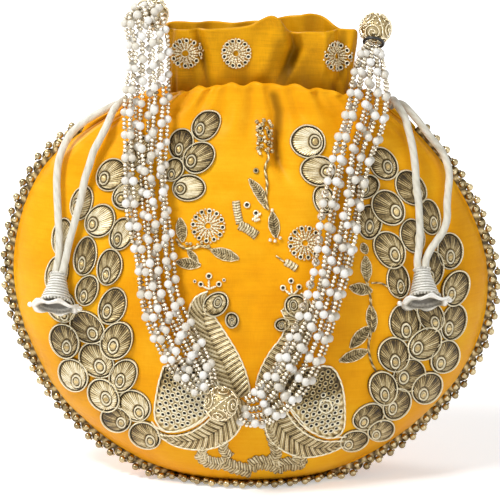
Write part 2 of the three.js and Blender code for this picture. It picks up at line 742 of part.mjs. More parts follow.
const RIGHT_TOP_PETALS = [
  [308, 142, 18, 17, 315, 142],
  [318, 171, 18, 16, 326, 172],
  [324, 200, 12, 15, 326, 205],
];
const PETAL_SIDES = 7;
const PETAL_CORD = 1.1; // the corded outline, so that each petal meets its neighbours

function petals(rows) {
  const cord = PETAL_CORD / SCALE_X;
  return rows.map(([column, row, wide, high, eyeColumn, eyeRow]) => {
    const outline = ovalOutline([column, row], wide + cord, high + cord, PETAL_SIDES, Math.PI / PETAL_SIDES);
    return dome(outline, [eyeColumn, eyeRow], PETAL_RISE);
  });
}

// The two birds face each other. Each is a herringbone neck and body, a wing, a tail leaf, a round head
// with a crown and a drop for its beak, and two legs on a band of feet.
const LEFT_BIRD = {
  body: [[200, 293], [192, 301], [188, 315], [190, 331], [196, 347], [205, 365], [214, 382], [226, 398],
    [240, 404], [249, 395], [248, 383], [241, 360], [230, 343], [222, 330], [227, 318], [226, 305], [212, 292]],
  head: [218, 303, 12, 13],
  wing: [[164, 366], [158, 388], [156, 418], [166, 430], [185, 428], [203, 418], [222, 398], [213, 372],
    [190, 360]],
  tail: [[166, 436], [186, 447], [203, 449], [222, 444], [240, 430], [248, 398], [232, 396], [212, 412],
    [183, 429]],
  beak: [[226, 310], [232, 328], [239, 322], [237, 313]],
  crown: [[204, 296], [199, 283], [206, 279], [210, 272], [214, 279], [221, 281], [214, 296]],
  legs: [[[206, 440], [213, 443], [206, 465], [198, 463]], [[222, 438], [230, 436], [233, 460], [225, 462]]],
  feet: [[196, 460], [215, 454], [232, 458], [249, 466], [247, 474], [222, 472], [200, 471]],
};
const RIGHT_BIRD = {
  body: [[306, 297], [313, 306], [313, 322], [309, 340], [300, 354], [289, 370], [281, 388], [268, 400],
    [257, 396], [255, 387], [261, 366], [271, 350], [280, 338], [284, 325], [281, 312], [290, 297]],
  head: [293, 306, 10, 10],
  wing: [[313, 366], [331, 367], [340, 381], [344, 406], [342, 430], [331, 437], [312, 431], [297, 415],
    [280, 394], [288, 374]],
  tail: [[260, 394], [262, 425], [272, 442], [290, 453], [312, 456], [330, 451], [333, 444], [308, 430],
    [294, 416], [280, 392]],
  beak: [[283, 310], [273, 316], [278, 328], [286, 320]],
  crown: [[288, 298], [284, 286], [291, 288], [296, 280], [300, 288], [307, 287], [302, 300]],
  legs: [[[265, 428], [273, 438], [276, 460], [268, 460]], [[290, 448], [298, 452], [306, 465], [298, 468]]],
  feet: [[257, 466], [272, 457], [292, 455], [308, 462], [300, 472], [280, 473], [259, 473]],
};

function bird({ body, head, wing, tail, beak, crown, legs, feet }) {
  const [column, row, wide, high] = head;
  return [
    plate(body, 1.3),
    plate(ovalOutline([column, row], wide, high, 10), 1.6),
    plate(wing, 0.9),
    plate(tail, 1.1),
    plate(beak),
    plate(crown, 0.8),
    ...legs.map((leg) => plate(leg, 0.7)),
    plate(feet, 0.8),
  ];
}

// A flower is a ring of twelve bugle-bead petals round an open middle, with a sequin at each tip.
const FLOWER_PETALS = 12;

function flower(column, row, radius) {
  const outline = Array.from({ length: 2 * FLOWER_PETALS }, (_, i) => {
    const turn = (Math.PI * i) / FLOWER_PETALS;
    const reach = i % 2 ? 0.8 * radius : radius;
    return [column + reach * Math.cos(turn), row + reach * Math.sin(turn)];
  });
  return [dome(outline.filter((_, i) => i % 2 === 0), [column, row], 1.8), plate(outline)];
}

// Leaf sprigs: pointed leaves and thin stems, each sprig joined along its stem.
function leaf(start, end, wide) {
  const [dx, dy] = [end[0] - start[0], end[1] - start[1]];
  const long = Math.hypot(dx, dy);
  const at = (along, across) => [
    start[0] + (dx * along - (dy / long) * across * wide),
    start[1] + (dy * along + (dx / long) * across * wide),
  ];
  return plate([at(0, 0), at(0.5, 0.5), at(1, 0), at(0.5, -0.5)], 0.8);
}

const STEM_WIDTH = 2.6;

function stem(points) {
  return points.slice(1).map((end, i) => leafless(points[i], end));
}

function leafless(start, end) {
  const [dx, dy] = [end[0] - start[0], end[1] - start[1]];
  const long = Math.hypot(dx, dy) / STEM_WIDTH;
  const [sx, sy] = [-dy / long / 2, dx / long / 2];
  const [ex, ey] = [dx / long / 3, dy / long / 3];
  return plate([
    [start[0] + sx - ex, start[1] + sy - ey],
    [start[0] - sx - ex, start[1] - sy - ey],
    [end[0] - sx + ex, end[1] - sy + ey],
    [end[0] + sx + ex, end[1] + sy + ey],
  ]);
}

const sprigs = {
  centre_sprig: [
    leaf([265, 124], [267, 156], 12),
    ...stem([[267, 152], [268, 170], [267, 195], [270, 214]]),
    leaf([251, 178], [271, 209], 17),
    leaf([271, 211], [277, 242], 11),
  ],
  left_sprig: [
    ...stem([[178, 238], [196, 248], [214, 252]]),
    leaf([210, 251], [239, 261], 12),
    leaf([200, 247], [176, 272], 11),
    leaf([183, 245], [180, 218], 10),
  ],
  right_sprig: [
    leaf([364, 256], [366, 283], 11),
    ...stem([[364, 278], [370, 300], [371, 330], [368, 350]]),
    leaf([350, 287], [373, 292], 12),
    leaf([367, 303], [376, 332], 11),
    leaf([372, 322], [347, 350], 12),
    leaf([370, 351], [338, 361], 11),
  ],
};

// The flowers: column, row and half width of each.
const LEFT_FLOWER = [208, 226, 18];
const RIGHT_FLOWER = [305, 243, 18];
const FRILL_FLOWERS = {
  frill_flower_left: [185, 53, 16],
  frill_flower_centre: [236, 53, 16],
  frill_flower_right: [338, 56, 16],
};

// The handle: pearl strands on each side, from the ball sewn to the frill's corner down to the centre
// ball. The routes are the middle of each bundle.
const LEFT_ROUTE = [[152, 118], [152, 150], [155, 200], [160, 250], [167, 300], [184, 340], [201, 368]];
const RIGHT_ROUTE = [[358, 128], [350, 152], [341, 200], [334, 240], [325, 280], [313, 318], [296, 350],
  [273, 378]];
const LEFT_HANG_COLUMN = 151; // where each bundle passes in front of the hem
const RIGHT_HANG_COLUMN = 366;
const CENTRE_BALL_PLACE = [223, 399];
const LEFT_BALL_CENTRE = [-42.6, -10.2, 206];
const RIGHT_BALL_DROP = 3; // below the top of the frill
const STRAND_LIFT = GAP + PETAL_RISE + GAP + PEARL_DIAMETER / 2;
// Each strand's place in its bundle: across, and out from the cloth.
const STRAND_PLACES = [[-7.8, 0], [-3.1, 0], [1.6, 0], [7.2, 0], [-5.4, 4], [-0.7, 4]];
const STRAND_GATHER = 0.3; // how close the strands come where they enter a ball
const GATHER_LENGTH = 26;

const endBallRadius = END_BALL_DIAMETER / 2;
const centreBallRadius = CENTRE_BALL_DIAMETER / 2;
const rightTip = sectionPoint(frillSection(1), QUARTER);
const leftBallCentre = vec(...LEFT_BALL_CENTRE);
const rightBallCentre = vec(rightTip.x + GAP + endBallRadius, -1.5, rightTip.z - RIGHT_BALL_DROP);
const centreBallCentre = onPanel(
  photoX(CENTRE_BALL_PLACE[0]),
  photoRise(CENTRE_BALL_PLACE[1]),
  STRAND_LIFT - PEARL_DIAMETER / 2 + centreBallRadius,
);

// Between the ball and the belly the bundle hangs clear of the frill and of the puffed hem.
function bundleLine(ballCentre, radius, route, hangX) {
  const top = ballCentre.clone();
  const hem = sectionPoint(neckSection(HEM_OVERHANG, HEM_SIDE_OVERHANG, HEM_HEIGHT), 0);
  const ahead = -0.78 * Math.abs(hem.y) - STRAND_LIFT;
  const hanging = [
    vec(lerp(top.x, hangX, 0.5), lerp(top.y, ahead, 0.45), lerp(top.z, HEM_HEIGHT + HEM_ARCH, 0.45)),
    vec(hangX, ahead, HEM_HEIGHT + 0.6 * HEM_ARCH),
  ];
  const lying = route.map(([column, row]) => onPanel(photoX(column), photoRise(row), STRAND_LIFT));
  return [top, ...hanging, ...lying, centreBallCentre.clone()];
}

// One strand: its line is the bundle's, moved across and out, and drawn together near both balls.
function strandCurve(line, [across, out], endRadius) {
  const bundle = new THREE.CatmullRomCurve3(line, false, "centripetal");
  const length = bundle.getLength();
  const from = (endRadius + GAP) / length;
  const to = 1 - (centreBallRadius + GAP) / length;
  const steps = 24;
  const points = Array.from({ length: steps + 1 }, (_, i) => {
    const share = lerp(from, to, i / steps);
    const at = bundle.getPointAt(share);
    const along = bundle.getTangentAt(share);
    const ahead = vec(at.x / BAG_WIDTH, -1, 0).normalize();
    const sideways = ahead.clone().cross(along).normalize();
    const outwards = along.clone().cross(sideways).normalize();
    const spread = spreadAt(share * length, length);
    return at.addScaledVector(sideways, across * spread).addScaledVector(outwards, out * spread);
  });
  return new THREE.CatmullRomCurve3(points, false, "centripetal");
}

function spreadAt(along, length) {
  const near = Math.min(along - endBallRadius, length - along - centreBallRadius);
  return lerp(STRAND_GATHER, 1, smoothstep(near, 0, GATHER_LENGTH));
}

const STRAND_SIDES = 4;

// Pearls with a thinner run of small beads between them, as a tube that swells and narrows.
function pearlStrand(curve, endRadius) {
  const length = curve.getLength();
  const pearls = Math.max(2, Math.round(length / PEARL_PITCH));
  const steps = 2 * pearls;
  const { normals, binormals } = curve.computeFrenetFrames(steps, false);
  const sections = Array.from({ length: steps + 1 }, (_, k) => {
    const at = curve.getPointAt(k / steps);
    const along = endRadius + (length * k) / steps;
    const spread = spreadAt(along, length + endRadius + centreBallRadius);
    const radius = (k % 2 ? PEARL_DIAMETER : SMALL_BEAD_DIAMETER) / 2;
    return Array.from({ length: STRAND_SIDES }, (_, i) => {
      const turn = (2 * Math.PI * (i + (k % 2) / 2)) / STRAND_SIDES;
      return at
        .clone()
        .addScaledVector(normals[k], radius * spread * Math.cos(turn))
        .addScaledVector(binormals[k], radius * spread * Math.sin(turn));
    });
  });
  return tubeOf(sections);
}

// A wound bell: a ribbed cone whose hem flares over an open mouth.
const BELL_SIDES = 10;

function bellGeometry() {
  const top = BELL_TOP_DIAMETER / 2;
  const foot = BELL_FOOT_DIAMETER / 2;
  const hem = BELL_HEM_DIAMETER / 2;
  const cone = 0.78 * BELL_LENGTH;
  const profile = [[0, 0], [top, 0]];
  for (let k = 1; k <= BELL_RIBS; k++) {
    const down = (cone * k) / BELL_RIBS;
    const radius = lerp(top, foot, k / BELL_RIBS);
    profile.push([radius, -down + cone / BELL_RIBS / 2]);
    profile.push([radius - 0.5, -down]);
  }
  profile.push([hem, -BELL_LENGTH], [hem - 1.2, -BELL_LENGTH], [foot - 2, -cone - 0.8], [0, -0.6 * cone]);
  return new THREE.LatheGeometry(profile.map(([r, z]) => new THREE.Vector2(r, z)).reverse(), BELL_SIDES);
}

// A bell hangs from the two legs of its drawstring, and leans out so that its hem clears the belly.
function placeBell(bell, [first, second]) {
  const ends = [first, second].map((name) => vec(...CORD_LEGS[name].at(-1)));
  const between = ends[1].clone().sub(ends[0]);
  const ahead = vec(-between.y, between.x, 0).normalize();
  ahead.multiplyScalar(ahead.y > 0 ? -Math.sin(degToRad(BELL_LEAN)) : Math.sin(degToRad(BELL_LEAN)));
  const down = ahead.setZ(-Math.cos(degToRad(BELL_LEAN)));
  bell.position.copy(ends[0].add(ends[1]).multiplyScalar(0.5).addScaledVector(down, 1.5 * GAP));
  bell.quaternion.setFromUnitVectors(vec(0, -1, 0), down);
}

// A ring lies against its ball, round the strands.
const mouthRing = () =>
  new THREE.TorusGeometry(MOUTH_RING_DIAMETER / 2, MOUTH_RING_THICKNESS / 2, 5, 10);

function placeRing(ring, ballCentre, towards) {
  const along = towards.clone().sub(ballCentre).normalize();
  const seat = Math.sqrt((endBallRadius + GAP + MOUTH_RING_THICKNESS / 2) ** 2 - (MOUTH_RING_DIAMETER / 2) ** 2);
  ring.position.copy(ballCentre).addScaledVector(along, seat);
  ring.quaternion.setFromUnitVectors(vec(0, 0, 1), along);
}

// Colours and finishes.
const finish = (colour, roughness, metalness = 0) =>
  new THREE.MeshStandardMaterial({ color: colour, roughness, metalness });
const orangeSilk = () => finish(0xf2a31c, 0.45);
const liningCloth = () => finish(0xe39a22, 0.8);
const goldLace = () => finish(0xc9a75f, 0.35, 0.8);
const goldThread = () => finish(0xa8926a, 0.5, 0.4);
const pearlFinish = () => finish(0xf3efe2, 0.25);
const filigreeGold = () => finish(0xd2b97f, 0.3, 0.9);
const ivorySatin = () => finish(0xf3ecdb, 0.4);
const silverWinding = () => finish(0xdedad0, 0.4, 0.2);
const blackRing = () => finish(0x1c1a18, 0.5);

const bag = new THREE.Group();
const handle = new THREE.Group();
const potliBag = new THREE.Group();
potliBag.add(bag, handle);

function add(group, name, geometry, material) {
  const mesh = new THREE.Mesh(geometry, material);
  mesh.name = name;
  group.add(mesh);
  return mesh;
}

add(bag, "front_panel", frontPanel(), orangeSilk());
add(bag, "back_panel", backPanel(), orangeSilk());
add(bag, "lining", liningBag(), liningCloth());
add(bag, "neck_frill", neckFrill(), orangeSilk());
add(bag, "bead_lace", beadLace(), goldLace());
add(bag, "left_drawstring", drawstring(-1, LEFT_RING_HEIGHT), ivorySatin());
add(bag, "right_drawstring", drawstring(1, RIGHT_RING_HEIGHT), ivorySatin());
for (const [name, points] of Object.entries(CORD_LEGS)) {
  add(bag, name, cordAlong(points, LEG_STEPS), ivorySatin());
}
for (const [side, legs] of [
  ["left", ["left_cord_outer", "left_cord_inner"]],
  ["right", ["right_cord_inner", "right_cord_outer"]],
]) {
  placeBell(add(bag, `${side}_bell`, bellGeometry(), silverWinding()), legs);
}

for (const [name, pieces] of Object.entries({
  left_shoulder_feathers: petals(LEFT_SHOULDER_PETALS),
  left_feathers: petals(LEFT_PETALS),
  left_top_feathers: petals(LEFT_TOP_PETALS),
  right_shoulder_feathers: petals(RIGHT_SHOULDER_PETALS),
  right_feathers: petals(RIGHT_PETALS),
  right_top_feathers: petals(RIGHT_TOP_PETALS),
  left_peacock: bird(LEFT_BIRD),
  right_peacock: bird(RIGHT_BIRD),
  left_flower: flower(...LEFT_FLOWER),
  right_flower: flower(...RIGHT_FLOWER),
  ...sprigs,
})) {
  add(bag, name, laidOn(onPanel, pieces), goldThread());
}
for (const [name, place] of Object.entries(FRILL_FLOWERS)) {
  add(bag, name, laidOn(onFrill, flower(...place)), goldThread());
}

for (const [side, ballCentre, route, hangX] of [
  ["left", leftBallCentre, LEFT_ROUTE, photoX(LEFT_HANG_COLUMN)],
  ["right", rightBallCentre, RIGHT_ROUTE, photoX(RIGHT_HANG_COLUMN)],
]) {
  const line = bundleLine(ballCentre, endBallRadius, route, hangX);
  STRAND_PLACES.forEach((place, i) => {
    const curve = strandCurve(line, place, endBallRadius);
    add(handle, `${side}_strand_${i + 1}`, pearlStrand(curve, endBallRadius), pearlFinish());
  });
  const ball = add(handle, `${side}_handle_ball`, new THREE.IcosahedronGeometry(endBallRadius, 1), filigreeGold());
  ball.position.copy(ballCentre);
  const ringMaterial = side === "left" ? filigreeGold() : blackRing();
  placeRing(add(handle, `${side}_mouth_ring`, mouthRing(), ringMaterial), ballCentre, line[1]);
}
const centreBall = add(
  handle,
  "centre_ball",
  new THREE.IcosahedronGeometry(centreBallRadius, 1),
  filigreeGold(),
);
centreBall.position.copy(centreBallCentre);

export default potliBag;
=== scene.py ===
"""A potli bag: padded orange silk, beaded edge lace, peacock embroidery, wound bells and a pearl handle."""

import json
import math

import bpy
import numpy as np
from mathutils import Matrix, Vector

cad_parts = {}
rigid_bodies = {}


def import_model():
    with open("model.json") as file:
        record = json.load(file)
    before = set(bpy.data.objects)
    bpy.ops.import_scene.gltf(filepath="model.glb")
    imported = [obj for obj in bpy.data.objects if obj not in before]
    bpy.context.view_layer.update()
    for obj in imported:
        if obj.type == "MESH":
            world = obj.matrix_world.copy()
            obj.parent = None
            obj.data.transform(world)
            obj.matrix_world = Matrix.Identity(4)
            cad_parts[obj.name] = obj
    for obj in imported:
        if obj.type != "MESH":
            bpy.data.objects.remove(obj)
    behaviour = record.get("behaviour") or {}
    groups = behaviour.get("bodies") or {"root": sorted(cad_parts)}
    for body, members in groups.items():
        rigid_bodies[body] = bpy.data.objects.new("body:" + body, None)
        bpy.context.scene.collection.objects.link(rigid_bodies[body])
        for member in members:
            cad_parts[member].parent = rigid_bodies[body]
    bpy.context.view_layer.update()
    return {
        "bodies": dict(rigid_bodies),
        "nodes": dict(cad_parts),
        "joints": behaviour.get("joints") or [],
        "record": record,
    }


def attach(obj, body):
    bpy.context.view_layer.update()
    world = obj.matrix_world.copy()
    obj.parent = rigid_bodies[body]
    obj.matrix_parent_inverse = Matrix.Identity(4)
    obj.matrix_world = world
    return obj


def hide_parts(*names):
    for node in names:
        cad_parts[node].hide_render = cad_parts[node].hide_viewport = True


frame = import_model()

MM = 0.001
PICTURE_MIDDLE, PICTURE_FLOOR = 251.0, 471.3  # column of the bag's middle and row of the ground at it
PICTURE_WIDTH = 500
PICTURE_CENTRE = np.array([250.0, 248.5])
PIXEL = 0.44  # millimetres to a pixel
TILT = math.radians(12.0)  # how far the camera looks down
DISTANCE = 1600.0  # from the camera to the bag, in millimetres

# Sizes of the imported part, in millimetres.
HALF_WIDTH, HEM_HEIGHT, HEM_ARCH = 104.3, 165.0, 10.0
FRONT_DEPTH, BACK_DEPTH = 47.0, 40.0
NECK_HALF_WIDTH, NECK_HALF_DEPTH, NECK_SHIFT = 41.0, 12.5, 4.2
HEM_OUT, HEM_SIDE_OUT = 8.1, 15.0
FRILL_HEIGHT, FRILL_HALF_WIDTH, FRILL_HALF_DEPTH = 201.0, 42.3, 14.5
FRILL_FOOT = 154.0
CORD_RADIUS, BEAD_RADIUS, PEARL_RADIUS, SMALL_RADIUS, THREAD_RADIUS = 1.65, 1.65, 2.0, 0.85, 0.18
LACE_REACH, LACE_PITCH, LACE_HEIGHT = 5.4, 6.4, 1.9
LACE_SEAM, SLIT = 0.7, 4.2  # half the room at the seam for the lace and for the cords
END_BALL, CENTRE_BALL = 7.2, 7.3

# The pouch at shares of its height: its half widths left and right, and its depths front and back, each as
# a share of the largest.
OUTLINE = np.array([
    (0, 0.345, 0.345), (0.058, 0.545, 0.54), (0.19, 0.785, 0.795), (0.35, 0.93, 0.955), (0.52, 1, 1),
    (0.68, 0.975, 0.945), (0.83, 0.87, 0.815), (0.93, 0.7, 0.685), (1, 0.52, 0.56)])
SIDE_PROFILE = np.array([
    (0, 0.574, 0.625), (0.05, 0.745, 0.775), (0.18, 0.936, 0.95), (0.36, 1, 1), (0.57, 0.936, 0.94),
    (0.78, 0.723, 0.74), (0.93, 0.5, 0.55), (1, 0.44, 0.51)])

# How flat the front and back of a level oval are: the power of the cosine, for the belly and for the neck.
BELLY_POWER, NECK_POWER = 1.24, 0.5

rng = np.random.default_rng(7)


# The camera.

SENSOR_WIDTH = 36


def look(elevation, column, row, distance, across):
    """A camera at an elevation in front of the bag, aimed at a column and row of the photograph."""
    forward = Vector((0, math.cos(elevation), -math.sin(elevation)))
    rise = (PICTURE_FLOOR - row) * PIXEL * MM
    aim = Vector(((column - PICTURE_MIDDLE) * PIXEL * MM, 0, rise / math.cos(elevation)))
    data = bpy.data.cameras.new("camera")
    data.sensor_width = SENSOR_WIDTH
    data.lens = SENSOR_WIDTH * distance / across
    camera = bpy.data.objects.new("camera", data)
    camera.location = aim - forward * distance
    camera.rotation_euler = (math.pi / 2 - elevation, 0, 0)
    bpy.context.scene.collection.objects.link(camera)
    bpy.context.scene.camera = camera


look(TILT, *PICTURE_CENTRE, DISTANCE * MM, PICTURE_WIDTH * PIXEL * MM)


# The shape of the pouch: its outline, the folds of its cloth and its side seam.

def smooth(x, low, high):
    """0 below low, 1 above high, 3t^2 - 2t^3 between."""
    t = np.clip((np.asarray(x, float) - low) / (high - low), 0, 1)
    return t * t * (3 - 2 * t)


def through(rows, column):
    """A cubic through a table's rows; the slope at a row is that of the line between its neighbours."""
    places, values = rows[:, 0], rows[:, column]
    order = np.arange(len(rows))
    before, after = np.maximum(order - 1, 0), np.minimum(order + 1, len(rows) - 1)
    slopes = (values[after] - values[before]) / (places[after] - places[before])

    def at(x):
        x = np.clip(np.asarray(x, float), places[0], places[-1])
        i = np.clip(np.searchsorted(places, x, side="right") - 1, 0, len(rows) - 2)
        span = places[i + 1] - places[i]
        u = (x - places[i]) / span
        rise = u * u * (3 - 2 * u)
        start = u * (1 - u) ** 2 * span * slopes[i]
        end = u * u * (u - 1) * span * slopes[i + 1]
        return values[i] * (1 - rise) + values[i + 1] * rise + start + end

    return at


left_at, right_at = through(OUTLINE, 1), through(OUTLINE, 2)
front_at, back_at = through(SIDE_PROFILE, 1), through(SIDE_PROFILE, 2)


def unit(v):
    """The same directions with length 1."""
    return v / np.maximum(np.linalg.norm(v, axis=-1, keepdims=True), 1e-9)


def level(left, right, front, back, power, z, arch, turn):
    """A point of a level oval: half * sin(turn) across, deep * |cos|^power ahead; and the way out of it."""
    side, ahead = np.sin(turn), np.cos(turn)
    half = np.where(side < 0, left, right)
    deep = np.where(ahead > 0, front, back)
    point = np.stack(np.broadcast_arrays(
        half * side, -deep * np.sign(ahead) * np.abs(ahead) ** power, z + arch * ahead * ahead), -1)
    out = unit(np.stack(np.broadcast_arrays(side / half, -ahead / deep, 0.0 * side), -1))
    return point, out


def body_level(share, turn):
    """The pouch's smooth outline at a share of the hem's height."""
    share = np.asarray(share, float)
    room = NECK_HALF_DEPTH + HEM_OUT
    return level(
        HALF_WIDTH * left_at(share), HALF_WIDTH * right_at(share),
        np.maximum(FRONT_DEPTH * front_at(share), room), np.maximum(BACK_DEPTH * back_at(share), room),
        BELLY_POWER + (NECK_POWER - BELLY_POWER) * smooth(share, 0.75, 1),
        share * HEM_HEIGHT, HEM_ARCH * smooth(share, 0.6, 1), turn)


def neck_level(out, side_out, z, turn, arch=HEM_ARCH):
    """The neck's oval, so much further out in front and at the sides."""
    return level(
        NECK_HALF_WIDTH - NECK_SHIFT + side_out, NECK_HALF_WIDTH + NECK_SHIFT + side_out,
        NECK_HALF_DEPTH + out, NECK_HALF_DEPTH + out, NECK_POWER, z, arch, turn)


def risen(point):
    """How high a point shows from the front, over the ground at the bag's middle."""
    return point[..., 2] * math.cos(TILT) + point[..., 1] * math.sin(TILT)


def picture(point):
    """Column and row at which a point shows from the front."""
    return PICTURE_MIDDLE + point[..., 0] / PIXEL, PICTURE_FLOOR - risen(point) / PIXEL


def along_line(points, column, row):
    """Distance in pixels from a bent line, its side (-1 left, 1 right) and how far along it, 0 to 1."""
    points = np.array(points, float)
    steps = np.linalg.norm(np.diff(points, axis=0), axis=1)
    starts = np.concatenate([[0], np.cumsum(steps)]) / steps.sum()
    best = np.full(np.shape(column), np.inf)
    side, place = np.zeros(np.shape(column)), np.zeros(np.shape(column))
    for i in range(len(points) - 1):
        (ax, ay), (bx, by) = points[i], points[i + 1]
        dx, dy = bx - ax, by - ay
        t = np.clip(((column - ax) * dx + (row - ay) * dy) / (dx * dx + dy * dy), 0, 1)
        away = np.hypot(column - ax - t * dx, row - ay - t * dy)
        near = away < best
        best = np.where(near, away, best)
        side = np.where(near, np.sign(dx * (row - ay) - dy * (column - ax)), side)
        place = np.where(near, starts[i] + t * (starts[i + 1] - starts[i]), place)
    return best, side, place


CASING_ROOM = 3.5  # how far the front can be drawn in over the casing
BACK_CASING_ROOM = 3.0

# Folds of the front: line in columns and rows, width in pixels, depth in millimetres, and how many times
# wider the fold is on its left, and narrower on its right.
FRONT_FOLDS = [
    ([(266, 88), (273, 100), (277, 115), (276, 132), (274, 148), (277, 166), (285, 182), (298, 196)],
     7, 5.2, 1.3),
    ([(252, 90), (254, 110), (250, 132), (246, 150)], 7, 1.6, 1),
    ([(292, 90), (296, 112), (304, 130)], 6, 1.6, 1),
    ([(232, 90), (230, 106), (222, 126), (212, 140)], 7, 1.7, 1),
    ([(212, 90), (206, 104), (196, 116)], 5, 1.3, 1),
    ([(196, 92), (186, 104), (170, 118), (152, 128)], 6, 1.8, 0.7),
    ([(178, 94), (160, 106), (138, 118), (112, 128)], 6, 1.8, 0.7),
    ([(315, 92), (324, 106), (338, 122), (352, 134)], 6, 1.7, 1.3),
    ([(334, 96), (350, 108), (372, 122), (392, 140)], 6, 1.9, 1.3),
    ([(348, 99), (372, 108), (398, 122)], 5, 1.5, 1.3),
    ([(205, 262), (232, 268), (262, 262), (286, 254)], 9, 0.9, 1),
    ([(228, 288), (252, 280), (276, 283)], 8, 0.8, 1),
    ([(215, 196), (236, 190), (262, 196)], 9, 0.6, 1),
    ([(252, 292), (250, 330), (246, 362)], 9, 1.0, 1),
    ([(330, 210), (345, 235), (349, 262)], 9, 0.7, 1),
]


def deep_fold(column, row):
    """Depth of the drawn folds: depth * exp(-(distance / width)^2) from each line, dying out along it."""
    depth = np.zeros(np.shape(column))
    for line, width, deep, skew in FRONT_FOLDS:
        away, side, place = along_line(line, column, row)
        reach = np.where(side < 0, width * skew, width / skew)
        run = smooth(place, -0.02, 0.12) * (1 - smooth(place, 0.6, 1.0))
        depth += deep * np.exp(-(away / reach) ** 2) * run
    return depth


def front_depth(share, turn, point):
    """How far the front cloth lies inside its smooth outline: drawn folds, gathers that die out below the
    neck, shallow swells of the padding, and puckers. Over the casing the depth bends towards a limit,
    room * tanh(depth / room)."""
    column, row = picture(point)
    depth = deep_fold(column, row) + gathers(share, turn, 0)
    depth += 0.5 * np.sin(0.047 * column + 1.3) * np.sin(0.052 * row + 0.4) * (1 - smooth(share, 0.7, 0.9))
    depth += puckers(share, turn)
    capped = CASING_ROOM * np.tanh(depth / CASING_ROOM)
    return depth + (capped - depth) * smooth(share, 0.86, 0.92)


def gathers(share, turn, seed):
    """Fine pleats, a few waves summed, deep at the hem and gone a fifth of the height below it."""
    a = turn * 13 + seed
    wave = np.sin(a) + 0.7 * np.sin(1.73 * a + 0.9) + 0.5 * np.sin(2.9 * a + 2.1)
    fine = np.sin(4.1 * a + 0.5 * np.sin(a))
    near = smooth(share, 0.78, 1.0)
    return (0.75 * wave + 1.0) * near * 0.75 + 0.35 * fine * smooth(share, 0.9, 1.0)


def puckers(share, turn):
    """Small puckers beside the edge seam, as the lace draws the cloth in."""
    edge = seam_turn(share)
    away = np.minimum(np.abs(np.abs(turn) - edge), np.abs(2 * math.pi - np.abs(turn) - edge)) * 60
    beat = np.sin(share * HEM_HEIGHT * 2 * math.pi / 9.0 + 3 * np.sin(share * 11))
    return 0.35 * (1 + beat) * np.exp(-(away / 7) ** 2) * (1 - smooth(share, 0.85, 0.95))


# Folds that fan from the neck down the back: the turn from its middle, how it leans, width, depth in
# millimetres and the share of the height at which it starts.
BACK_FOLDS = [
    (-0.95, 0.25, 0.09, 2.2, 0.62), (-0.55, 0.12, 0.08, 2.8, 0.5), (-0.2, 0.05, 0.07, 2.4, 0.58),
    (0.14, -0.06, 0.08, 3.0, 0.46), (0.5, -0.14, 0.07, 2.2, 0.6), (0.9, -0.22, 0.1, 2.6, 0.55)]


def back_depth(share, turn):
    """The same for the back, whose folds are bells exp(-(turn / width)^2) about leaning lines."""
    depth = gathers(share, turn, 2.0)
    fan = turn - math.pi
    for centre, lean, width, deep, low in BACK_FOLDS:
        place = fan - centre - lean * (1 - share) * 3
        depth = depth + 1.7 * deep * np.exp(-(place / width) ** 2) * smooth(share, low - 0.12, 0.86)
    swell = np.sin(2.6 * fan + 0.7) * np.sin(9 * share + 0.5)
    drag = np.sin(5.1 * fan + 3 * share) * smooth(share, 0.1, 0.3)
    belly = (1 - smooth(share, 0.75, 0.95)) * smooth(share, 0.05, 0.25)
    depth = depth + (0.9 * swell + 0.35 * drag) * belly + puckers(share, turn)
    capped = np.where(depth > 0, BACK_CASING_ROOM * np.tanh(depth / BACK_CASING_ROOM), depth)
    return depth + (capped - depth) * smooth(share, 0.86, 0.93)


BASE_SEAM_TURN = math.radians(52)  # where the side seam lies at the base


def seam_turn(share):
    """The side seam lies at a quarter turn, and comes forward round the base."""
    return BASE_SEAM_TURN + (math.pi / 2 - BASE_SEAM_TURN) * smooth(share, 0, 0.16)


def seam_room(share):
    """Half the room between the cloths at the seam, which opens into the cords' slit at the hem."""
    return LACE_SEAM + (SLIT - LACE_SEAM) * smooth(share, 0.9, 0.95)


# Meshes.

def grid(points, around=False, uv=(1.0, 1.0), tone=0.5):
    """Quads over rows and columns of points. The UV runs to uv[0] along a row and uv[1] up the rows."""
    rows, cols = points.shape[:2]
    wide = cols if around else cols - 1
    r, c = np.meshgrid(np.arange(rows - 1), np.arange(wide), indexing="ij")
    r, c = r.ravel(), c.ravel()
    n = (c + 1) % cols
    faces = np.stack([r * cols + c, r * cols + n, (r + 1) * cols + n, (r + 1) * cols + c], 1)
    if np.ndim(uv[0]):
        u, v = (np.broadcast_to(k, (rows, cols)).ravel()[faces] for k in uv)
    else:
        u = np.stack([c, c + 1, c + 1, c], 1) / wide * uv[0]
        v = np.stack([r, r, r + 1, r + 1], 1) / (rows - 1) * uv[1]
    return part(points.reshape(-1, 3), [faces], [np.stack([u, v], -1)], tone)


def ring_shape(ring, tone=0.5):
    """Quads over a grid of points that runs round both ways."""
    rows, cols = ring.shape[:2]
    r, c = np.meshgrid(np.arange(rows), np.arange(cols), indexing="ij")
    r, c = r.ravel(), c.ravel()
    d, e = (c + 1) % cols, (r + 1) % rows
    faces = np.stack([r * cols + c, r * cols + d, e * cols + d, e * cols + c], 1)
    uv = np.stack([np.stack([c, c + 1, c + 1, c], 1) / cols, np.stack([r, r, r + 1, r + 1], 1) / rows], -1)
    return outward(part(ring.reshape(-1, 3), [faces], [uv], tone))


def part(points, faces, uvs, tone=0.5):
    """Points, lists of faces, the UV of each face's corners, and a tone from 0 to 1 for each point."""
    tone = np.broadcast_to(np.asarray(tone, float).reshape(-1), (len(points),))
    return {"points": np.asarray(points, float), "faces": faces, "uvs": uvs, "tone": tone}


